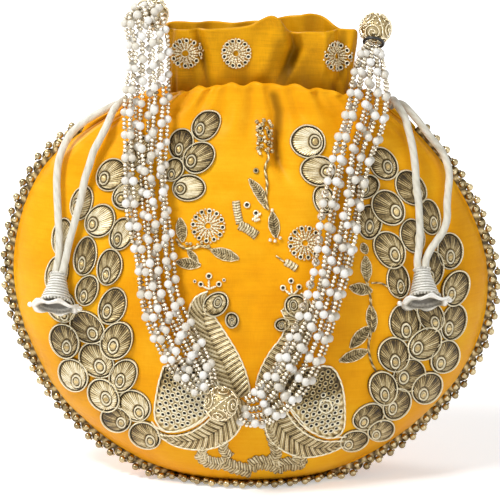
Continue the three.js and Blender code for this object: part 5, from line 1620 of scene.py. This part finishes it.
def sequin_shape(hole=0.56, sides=14):
    """A cupped ring of radius 1 about the first axis."""
    a = np.linspace(0, 2 * math.pi, sides, endpoint=False)
    section = np.array([(hole, 0.0), (hole, 0.2), (0.74, 0.42), (0.94, 0.3), (1.0, 0.1), (0.76, 0.05)])
    radius, height = section[:, 0], section[:, 1]
    a = a[:, None]
    return ring_shape(np.stack(np.broadcast_arrays(height, radius * np.cos(a), radius * np.sin(a)), -1))


SEQUIN = sequin_shape()
TAPER = np.array([0.55, 0.9, 1, 1, 1, 0.9, 0.55])


def sequins(places, radius, net, tones, lift=0.35):
    """Sequins flat on the cloth, each with a near-black flat bead under its hole: painted shade in the hole.
    """
    at = net(raised_to(places, lift))
    frames = frames_along(net.way)
    size = np.broadcast_to(np.asarray(radius, float), (len(at),))
    holes = np.stack([0.16 * size, 0.6 * size, 0.6 * size], 1)
    # The near-black bead under each hole is painted shade.
    return [repeated(SEQUIN, at, frames, size, np.broadcast_to(tones, (len(at),))),
            repeated(ball(2), at, frames, holes, np.zeros(len(at)))]


def bead_dots(places, radius, net, tone):
    at = net(raised_to(places, radius))
    return [repeated(ball(3), at, frames_along(net.way), radius, np.full(len(at), tone))]


def bugles(starts, ends, radius, net, tone):
    """Short tubes of metal thread between two places, tapered at both ends."""
    made = []
    for start, end in zip(starts, ends):
        line = net(raised_to(np.linspace(start, end, len(TAPER)), 0.5))
        made.append(toned(tube(line, unit(np.gradient(line, axis=0)), radius * TAPER, 7, 9.0), tone))
    return made


FLOWER_PETALS = 12


def flower(column, row, radius, net, turn=0.1):
    """Twelve sequins round an open middle, with two metal threads running out to each."""
    a = turn + np.arange(FLOWER_PETALS) * 2 * math.pi / FLOWER_PETALS
    middle = np.array([column, row], float)
    made = sequins(middle + heading(a) * (radius - 2.2), 1.25, net, rng.uniform(0.75, 1.0, len(a)))
    for shift, far in ((-0.11, 0.78), (0.13, 0.74)):
        starts, ends = middle + heading(a + 2.2 * shift) * 4.6, middle + heading(a + shift) * radius * far
        made += bugles(starts, ends, 0.42, net, 0.78)
    made.append(cord_ring(middle, 3.8, net, 0.36, tone=0.7))
    dots = middle + heading(a + math.pi / FLOWER_PETALS) * (radius - 0.4)
    return made + bead_dots(dots, 0.5, net, 0.85)


def inside(outline, places):
    """Which places lie inside an outline: a ray to the right crosses it an odd number of times."""
    x, y = places[:, 0][:, None], places[:, 1][:, None]
    ax, ay = outline[:, 0][None], outline[:, 1][None]
    bx, by = np.roll(ax, -1), np.roll(ay, -1)
    crossed = ((ay > y) != (by > y)) & (x < (bx - ax) * (y - ay) / np.where(by == ay, 1e-9, by - ay) + ax)
    return crossed.sum(1) % 2 == 1


# A wing's ground: shares of its outline, from the middle out, and their heights.
WING_SHARES, WING_HEIGHTS = (0.03, 0.4, 0.8, 0.97, 1.0, 0.97), (0.45, 0.45, 0.45, 0.35, 0.2, 0.04)
SEQUIN_PITCH = 5.9
SEQUIN_TURN = np.array([[math.cos(0.3), -math.sin(0.3)], [math.sin(0.3), math.cos(0.3)]])


def wing(outline, net, cream_below, flower_at=None):
    """A dark ground, a corded edge and rows of sequins, which are cream below a row of the photograph. A
    flower on it has a sequin in a ring of cord."""
    line, _, _ = spaced_line([*outline, outline[0]], 80)
    line = line[:-1]
    centre = line.mean(0)

    def lit(at):
        return smooth(at[..., 1] + 0.35 * (at[..., 0] - centre[0]), cream_below - 8, cream_below + 8)

    flat = centre + (line - centre) * np.array(WING_SHARES)[:, None, None]
    heights = np.broadcast_to(np.array(WING_HEIGHTS)[:, None, None], (*flat.shape[:2], 1))
    ground = np.where(heights[..., 0] > 0.3, 0.2 + 0.42 * lit(flat), 0.3)
    made = [outward(closed(net(np.concatenate([flat, heights], -1)), (30.0, 6.0), ground))]
    columns, rows = np.meshgrid(np.arange(150, 350, SEQUIN_PITCH), np.arange(350, 440, SEQUIN_PITCH * 0.87),
                                indexing="ij")
    columns = columns + SEQUIN_PITCH / 2 * (np.arange(rows.shape[1]) % 2)[None, :]
    turned = (np.stack([columns.ravel(), rows.ravel()], 1) - centre) @ SEQUIN_TURN + centre
    places = turned[inside(centre + (line - centre) * 0.89, turned)]
    places = places + rng.normal(0, 0.25, places.shape)
    pale = lit(places)
    if flower_at is not None:
        away = np.linalg.norm(places - flower_at, axis=1)
        pale = np.maximum(pale, away < 11)
        places, pale = places[away > 4], pale[away > 4]
        made += sequins([flower_at], 1.7, net, 0.9, 0.8)
        made.append(cord_ring(np.array(flower_at), 6.4, net, 0.4, lift=0.8))
    made += sequins(places, 1.34, net, 0.56 + 0.44 * pale + rng.uniform(-0.08, 0.06, len(places)), 0.5)
    made.append(cord_line(outline, net, 0.45, 0.3, ring=True))
    return made


# Feather petals: the middle, half the width and height, and the eye that the stitches run to.
LEFT_SHOULDER_PETALS = [
    (137, 152, 14, 18, 131, 158), (112, 175, 16, 17, 102, 180), (130, 195, 18, 15, 122, 199)]
LEFT_PETALS = [
    (82, 203, 12, 18, 75, 208), (101, 221, 16, 17, 93, 225), (122, 234, 13, 17, 118, 240),
    (63, 237, 11, 19, 59, 248), (86, 256, 12, 20, 83, 264), (110, 267, 13, 19, 107, 275),
    (58, 273, 12, 18, 54, 278), (88, 290, 12, 16, 85, 296), (113, 306, 15, 19, 108, 311),
    (62, 306, 15, 17, 65, 314), (88, 327, 18, 17, 94, 333), (118, 340, 17, 19, 115, 345),
    (66, 340, 15, 18, 69, 346), (97, 360, 18, 18, 101, 366), (124, 375, 15, 17, 121, 380),
    (75, 374, 15, 17, 79, 380), (105, 394, 16, 17, 108, 397), (135, 405, 17, 16, 140, 412),
    (117, 418, 16, 13, 123, 421), (146, 434, 16, 14, 152, 439)]
LEFT_TOP_PETALS = [
    (206, 126, 15, 16, 200, 130), (181, 144, 13, 16, 179, 150), (199, 158, 17, 16, 191, 162),
    (174, 170, 11, 12, 172, 175), (189, 188, 17, 14, 179, 189)]
RIGHT_SHOULDER_PETALS = [
    (383, 164, 15, 17, 387, 167), (366, 187, 13, 13, 364, 190), (410, 188, 16, 18, 418, 195),
    (387, 208, 17, 18, 396, 213), (428, 217, 12, 18, 432, 224), (369, 222, 13, 18, 369, 227),
    (389, 250, 17, 19, 394, 255), (412, 236, 13, 18, 418, 240), (398, 281, 12, 18, 400, 287)]
RIGHT_PETALS = [
    (449, 251, 13, 19, 449, 257), (431, 269, 12, 19, 429, 278), (454, 288, 14, 18, 448, 295),
    (453, 322, 14, 19, 446, 330), (404, 322, 16, 19, 405, 330), (429, 315, 14, 17, 433, 322),
    (423, 343, 17, 17, 413, 348), (444, 356, 15, 17, 438, 363), (393, 354, 16, 18, 394, 361),
    (409, 375, 17, 17, 403, 377), (382, 387, 15, 17, 383, 393), (426, 387, 16, 16, 422, 393),
    (396, 403, 15, 16, 391, 407), (368, 416, 16, 14, 363, 421), (380, 429, 14, 11, 374, 433),
    (354, 440, 15, 11, 345, 445)]
RIGHT_TOP_PETALS = [
    (308, 142, 18, 17, 315, 142), (318, 171, 18, 16, 326, 172), (324, 200, 12, 15, 326, 205)]
FEATHERS = {
    "left_shoulder_feathers": (LEFT_SHOULDER_PETALS, (0.55, 0.5, 0.72)),
    "left_feathers": (LEFT_PETALS, (0.6, 0.74, 0.66, 0.7, 0.3, 0.42, 0.6, 0.4, 0.36, 0.45, 0.3, 0.42, 0.34,
                                    0.5)),
    "left_top_feathers": (LEFT_TOP_PETALS, (0.38, 0.28, 0.42, 0.5, 0.72)),
    "right_shoulder_feathers": (RIGHT_SHOULDER_PETALS, (0.42, 0.4, 0.34, 0.36, 0.32, 0.4)),
    "right_feathers": (RIGHT_PETALS, (0.32, 0.3, 0.4, 0.36, 0.3, 0.28, 0.44, 0.36)),
    "right_top_feathers": (RIGHT_TOP_PETALS, (0.8, 0.7, 0.82)),
}


def embroidered(node, parts):
    """The raised stitches of one group, as one piece."""
    piece(f"{node}_threads", joined(parts), gold_thread, "bag", [node])


for node, (rows, shades) in FEATHERS.items():
    embroidered(node, petals(rows, shades))
    piece(f"{node}_eye_coils", joined(eye_coils(rows)), eye_gold, "bag", [node])

# Each peacock: the edges of its neck and body and of its tail leaf, the wing's outline, the head and throat
# as petals, cords over the tail, the crown's sequins and stalks, and its legs and feet as bands.
PEACOCKS = {
    "left": {
        "body": ([(208, 291), (196, 297), (189, 310), (189, 326), (195, 345), (206, 366), (216, 384),
                  (228, 399)],
                 [(204, 303), (209, 310), (218, 322), (228, 337), (238, 354), (245, 370), (249, 385),
                  (250, 396)]),
        "stitches": 22, "tones": (0.74, 0.72),
        "tail": ([(156, 430), (172, 434), (188, 431), (204, 422), (218, 409), (234, 394)],
                 [(158, 434), (176, 445), (200, 449), (220, 445), (237, 432), (248, 404)]),
        "wing": [(164, 366), (158, 388), (156, 418), (166, 430), (185, 428), (203, 418), (220, 400),
                 (213, 372), (190, 358)],
        "cream_below": 380, "flower_at": None,
        "head": ((216, 304, 13, 13, 218, 302), 2.0, 0.5), "throat": ((232, 320, 7, 8.5, 232, 322), 1.0, 0.5),
        "cords": [[(152, 421), (158, 427), (170, 431), (188, 428), (204, 419), (216, 405)],
                  [(150, 426), (160, 433), (174, 435), (190, 432), (206, 422), (219, 408)]],
        "crown": ([(209, 276), (201, 284), (219, 284), (195, 281), (224, 280)], [1.5, 1.3, 1.35, 0.8, 0.8]),
        "stalks": ((209, 289), [(209, 280), (203, 286), (216, 286)]),
        "legs": [([(203, 446), (202, 454), (205, 461)], 9, 0.2, 0.82),
                 ([(223, 441), (224, 450), (231, 457)], 9, 0.2, 0.82),
                 ([(198, 452), (206, 460), (216, 463), (226, 462)], 10, 0.3, 0.84),
                 ([(222, 458), (230, 465), (241, 468), (252, 471)], 11, 0.3, 0.80)],
    },
    "right": {
        "body": ([(281, 310), (286, 322), (281, 337), (271, 350), (262, 366), (257, 380), (255, 396)],
                 [(301, 293), (312, 306), (313, 322), (309, 340), (299, 356), (287, 374), (276, 396)]),
        "stitches": 18, "tones": (0.66, 0.64),
        "tail": ([(347, 438), (328, 440), (311, 434), (296, 420), (284, 406), (276, 392)],
                 [(345, 445), (326, 453), (303, 456), (282, 449), (268, 435), (262, 404)]),
        "wing": [(313, 366), (331, 367), (340, 381), (344, 406), (342, 430), (331, 437), (312, 431),
                 (297, 415), (283, 394), (292, 374)],
        "cream_below": 400, "flower_at": (325, 405),
        "head": ((296, 306, 12, 12, 293, 305), 2.5, 0.55), "throat": ((282, 324, 8, 7, 281, 325), 1.5, 0.45),
        "cords": [[(285, 398), (294, 415), (306, 428), (324, 436), (346, 436)],
                  [(282, 402), (291, 419), (304, 432), (322, 440), (346, 440)]],
        "crown": ([(291, 281), (283, 288), (299, 287)], 1.35),
        "stalks": ((292, 296), [(291, 285), (285, 290), (298, 290)]),
        "legs": [([(268, 424), (273, 440), (276, 452), (270, 462)], 10, 0.2, 0.72),
                 ([(296, 452), (300, 458), (298, 466)], 11, 0.2, 0.72),
                 ([(250, 466), (258, 462), (270, 463), (280, 467)], 12, 0.3, 0.72),
                 ([(276, 468), (286, 463), (297, 463), (303, 456)], 11, 0.3, 0.72)],
    },
}


def peacock(bird):
    """Herringbone body and tail, sequined wing, head, throat, cords, crown, legs and feet."""
    net = front_net
    body_tone, tail_tone = bird["tones"]
    made = [band(*bird["body"], bird["stitches"], net, slant=1.9, rise=1.4, tone=body_tone),
            band(*bird["tail"], 19, net, slant=1.6, rise=1.1, tone=tail_tone)]
    made += wing(bird["wing"], net, bird["cream_below"], bird["flower_at"])
    made.append(petal(bird["head"][0], net, *bird["head"][1:], 0.7))
    made.append(petal(bird["throat"][0], net, *bird["throat"][1:], 0.4))
    made += [cord_line(line, net) for line in (*bird["body"], bird["tail"][1], *bird["cords"])]
    made += sequins(bird["crown"][0], bird["crown"][1], net, 1.0)
    foot, tips = bird["stalks"]
    made += bugles([foot] * len(tips), tips, 0.5, net, 0.95)
    return made + [path_band(line, width, net, scallop=scallop, tone=tone)
                   for line, width, scallop, tone in bird["legs"]]


for side, bird in PEACOCKS.items():
    embroidered(f"{side}_peacock", peacock(bird))

# The flowers: column, row, radius, what they are sewn on and how they are turned.
for node, place in {
        "left_flower": (208, 226, 17, front_net, 0.1),
        "right_flower": (305, 243, 17, front_net, 0.3),
        "frill_flower_left": (185, 53, 15, frill_net, 0.1),
        "frill_flower_centre": (236, 53, 15, frill_net, 0.25),
        "frill_flower_right": (338, 56, 15, frill_net, 0.05)}.items():
    embroidered(node, flower(*place))


def leaves(rows, net):
    """Leaves from rows of start, end, width, bow and tone."""
    return [shape for start, end, width, bow, tone in rows
            for shape in leaf(start, end, width, net, bow, tone)]


def centre_sprig():
    net = front_net
    cluster = [(264 + 6.5 * math.sin(2.4 * i), 121 + 1.0 * i) for i in range(34)]
    stem = [(266, 150), (268, 158), (265, 168), (267, 184), (266, 198), (268, 210)]
    # Line, width, stitches, scallop, slant and tone of each bud.
    buds = [([(236, 201), (237, 210), (240, 224)], 7, 9, 0.15, 0.3, 0.9),
            ([(239, 225), (246, 228), (257, 236)], 9, 8, 0.1, 0.5, 0.75),
            ([(285, 262), (291, 265), (297, 269)], 7, 4, 0.1, 0.2, 0.95)]
    made = bead_dots(cluster[::2], 0.95, net, 0.5) + bead_dots(cluster[1::2], 0.75, net, 0.8)
    made += sequins([(261, 129), (268, 133), (261, 140), (268, 145)], 1.2, net, 0.55)
    made.append(cord_line(stem, net, 0.55, tone=0.5))
    made += leaves([((249, 179), (266, 208), 9, 2, 0.45), ((272, 212), (276, 238), 10, 0, 0.35)], net)
    made += sequins([(256, 171), (247, 205), (256, 213)], [1.3, 1.5, 1.4], net, [0.5, 1.0, 0.9])
    made += bugles([(252, 220), (254, 221)], [(261, 213), (260, 219)], 0.7, net, 1.0)
    made += [path_band(line, width, net, stitches, scallop, slant=slant, tone=tone, vein=0.0)
             for line, width, stitches, scallop, slant, tone in buds]
    made += bead_dots([(270, 240), (275, 241), (272, 210), (280, 238)], 0.8, net, 0.9)
    made.append(cord_line([(276, 256), (284, 262)], net, 0.4, tone=0.6))
    return made


def left_sprig():
    net = front_net
    stem = [(176, 239), (184, 248), (194, 248), (203, 246), (213, 250)]
    dots = [(180 + 3.6 * i, 245 + 2.2 * math.sin(1.9 * i)) for i in range(9)]
    made = [cord_line(stem, net, 0.6, tone=0.55)]
    made += leaves([((211, 250), (239, 259), 11, 0, 0.5), ((176, 262), (201, 265), 10, 0, 0.45),
                    ((183, 242), (180, 218), 10, 0, 0.45), ((198, 262), (188, 250), 6, 0, 0.4)], net)
    return made + bead_dots(dots, 0.75, net, 0.6)


def right_sprig():
    net = front_net
    stem = [(364, 276), (369, 292), (371, 312), (371, 330), (368, 346), (371, 362), (375, 370)]
    branch = [(371, 283), (380, 283), (389, 288), (395, 294), (401, 301)]
    made = [cord_line(stem, net, 0.5, tone=0.4), cord_line(branch, net, 0.42, tone=0.45)]
    made += leaves([((365, 256), (367, 281), 10, 0, 0.55), ((349, 287), (372, 291), 11, 0, 0.4),
                    ((370, 305), (373, 332), 10, 0, 0.35), ((370, 326), (350, 348), 11, 0, 0.35),
                    ((368, 350), (339, 361), 10, 0, 0.4), ((362, 243), (366, 254), 7, 0, 0.45)], net)
    return made + bead_dots([(367, 284), (370, 300), (372, 318), (369, 338)], 0.7, net, 0.6)


embroidered("centre_sprig", centre_sprig())
embroidered("left_sprig", left_sprig())
embroidered("right_sprig", right_sprig())


# The stage: the floor, the world and the lamps.

FLOOR_REACH, FLOOR_DROP = 5.0, 0.0002  # metres
FLOOR_GLOW, WORLD_LIGHT = 0.42, 0.3  # the floor's glow under the bag, the world's light on it
GLOW_START, GLOW_FULL = 0.14, 0.7  # how far from the bag's middle the floor turns white
# Each lamp's place, size, power and aim.
LAMPS = {
    "key": ((-0.7, -0.7, 1.35), 0.4, 18.0, (0, 0, 0.1)),
    "fill": ((0.9, -1.1, 0.6), 0.9, 3.0, (0, 0, 0.1)),
    "back": ((-0.85, 0.75, 0.8), 0.5, 6.0, (0, 0, 0.12)),
}


def floor():
    """A flat pale floor. Away from the bag it glows, to the white of the world, for what the camera sees."""
    mesh = bpy.data.meshes.new("floor")
    corners = np.array([(-1, -1, 0), (1, -1, 0), (1, 1, 0), (-1, 1, 0)]) * FLOOR_REACH
    mesh.from_pydata((corners - (0, 0, FLOOR_DROP)).tolist(), [], [(0, 1, 2, 3)])
    thing = bpy.data.objects.new("floor", mesh)
    bpy.context.scene.collection.objects.link(thing)
    f = Finish("paper", Roughness=0.85, Specular_IOR_Level=0.1, Emission_Strength=1.0)
    place = f.node("ShaderNodeTexCoord", output="Object")
    away = f.node("ShaderNodeVectorMath", {"operation": "LENGTH"}, {0: place}, "Value")
    glow = f.ramp(away.between(GLOW_START, GLOW_FULL), [(0.0, (FLOOR_GLOW,) * 3), (1.0, (1, 1, 1))])
    f.set(Base_Color=f.mix(f.noise(90), (0.93, 0.93, 0.93), (0.96, 0.96, 0.96)),
          Emission_Color=f.mix(f.seen(), (0, 0, 0), glow))
    mesh.materials.append(f.material)


def world():
    """White for what the camera sees, and an even low light on the bag."""
    made = bpy.data.worlds.new("world")
    bpy.context.scene.world = made
    made.use_nodes = True
    sky = Nodes(made.node_tree, "Background")
    sky.set(Color=(1, 1, 1, 1), Strength=WORLD_LIGHT + (1 - WORLD_LIGHT) * sky.seen())


def lamp(name, place, size, power, aim):
    data = bpy.data.lights.new(name, "AREA")
    data.size, data.energy = size, power
    made = bpy.data.objects.new(name, data)
    made.location = place
    made.rotation_euler = (Vector(aim) - Vector(place)).to_track_quat("-Z", "Y").to_euler()
    bpy.context.scene.collection.objects.link(made)


floor()
world()
for name, values in LAMPS.items():
    lamp(name, *values)
bpy.context.scene.view_settings.view_transform = "Standard"
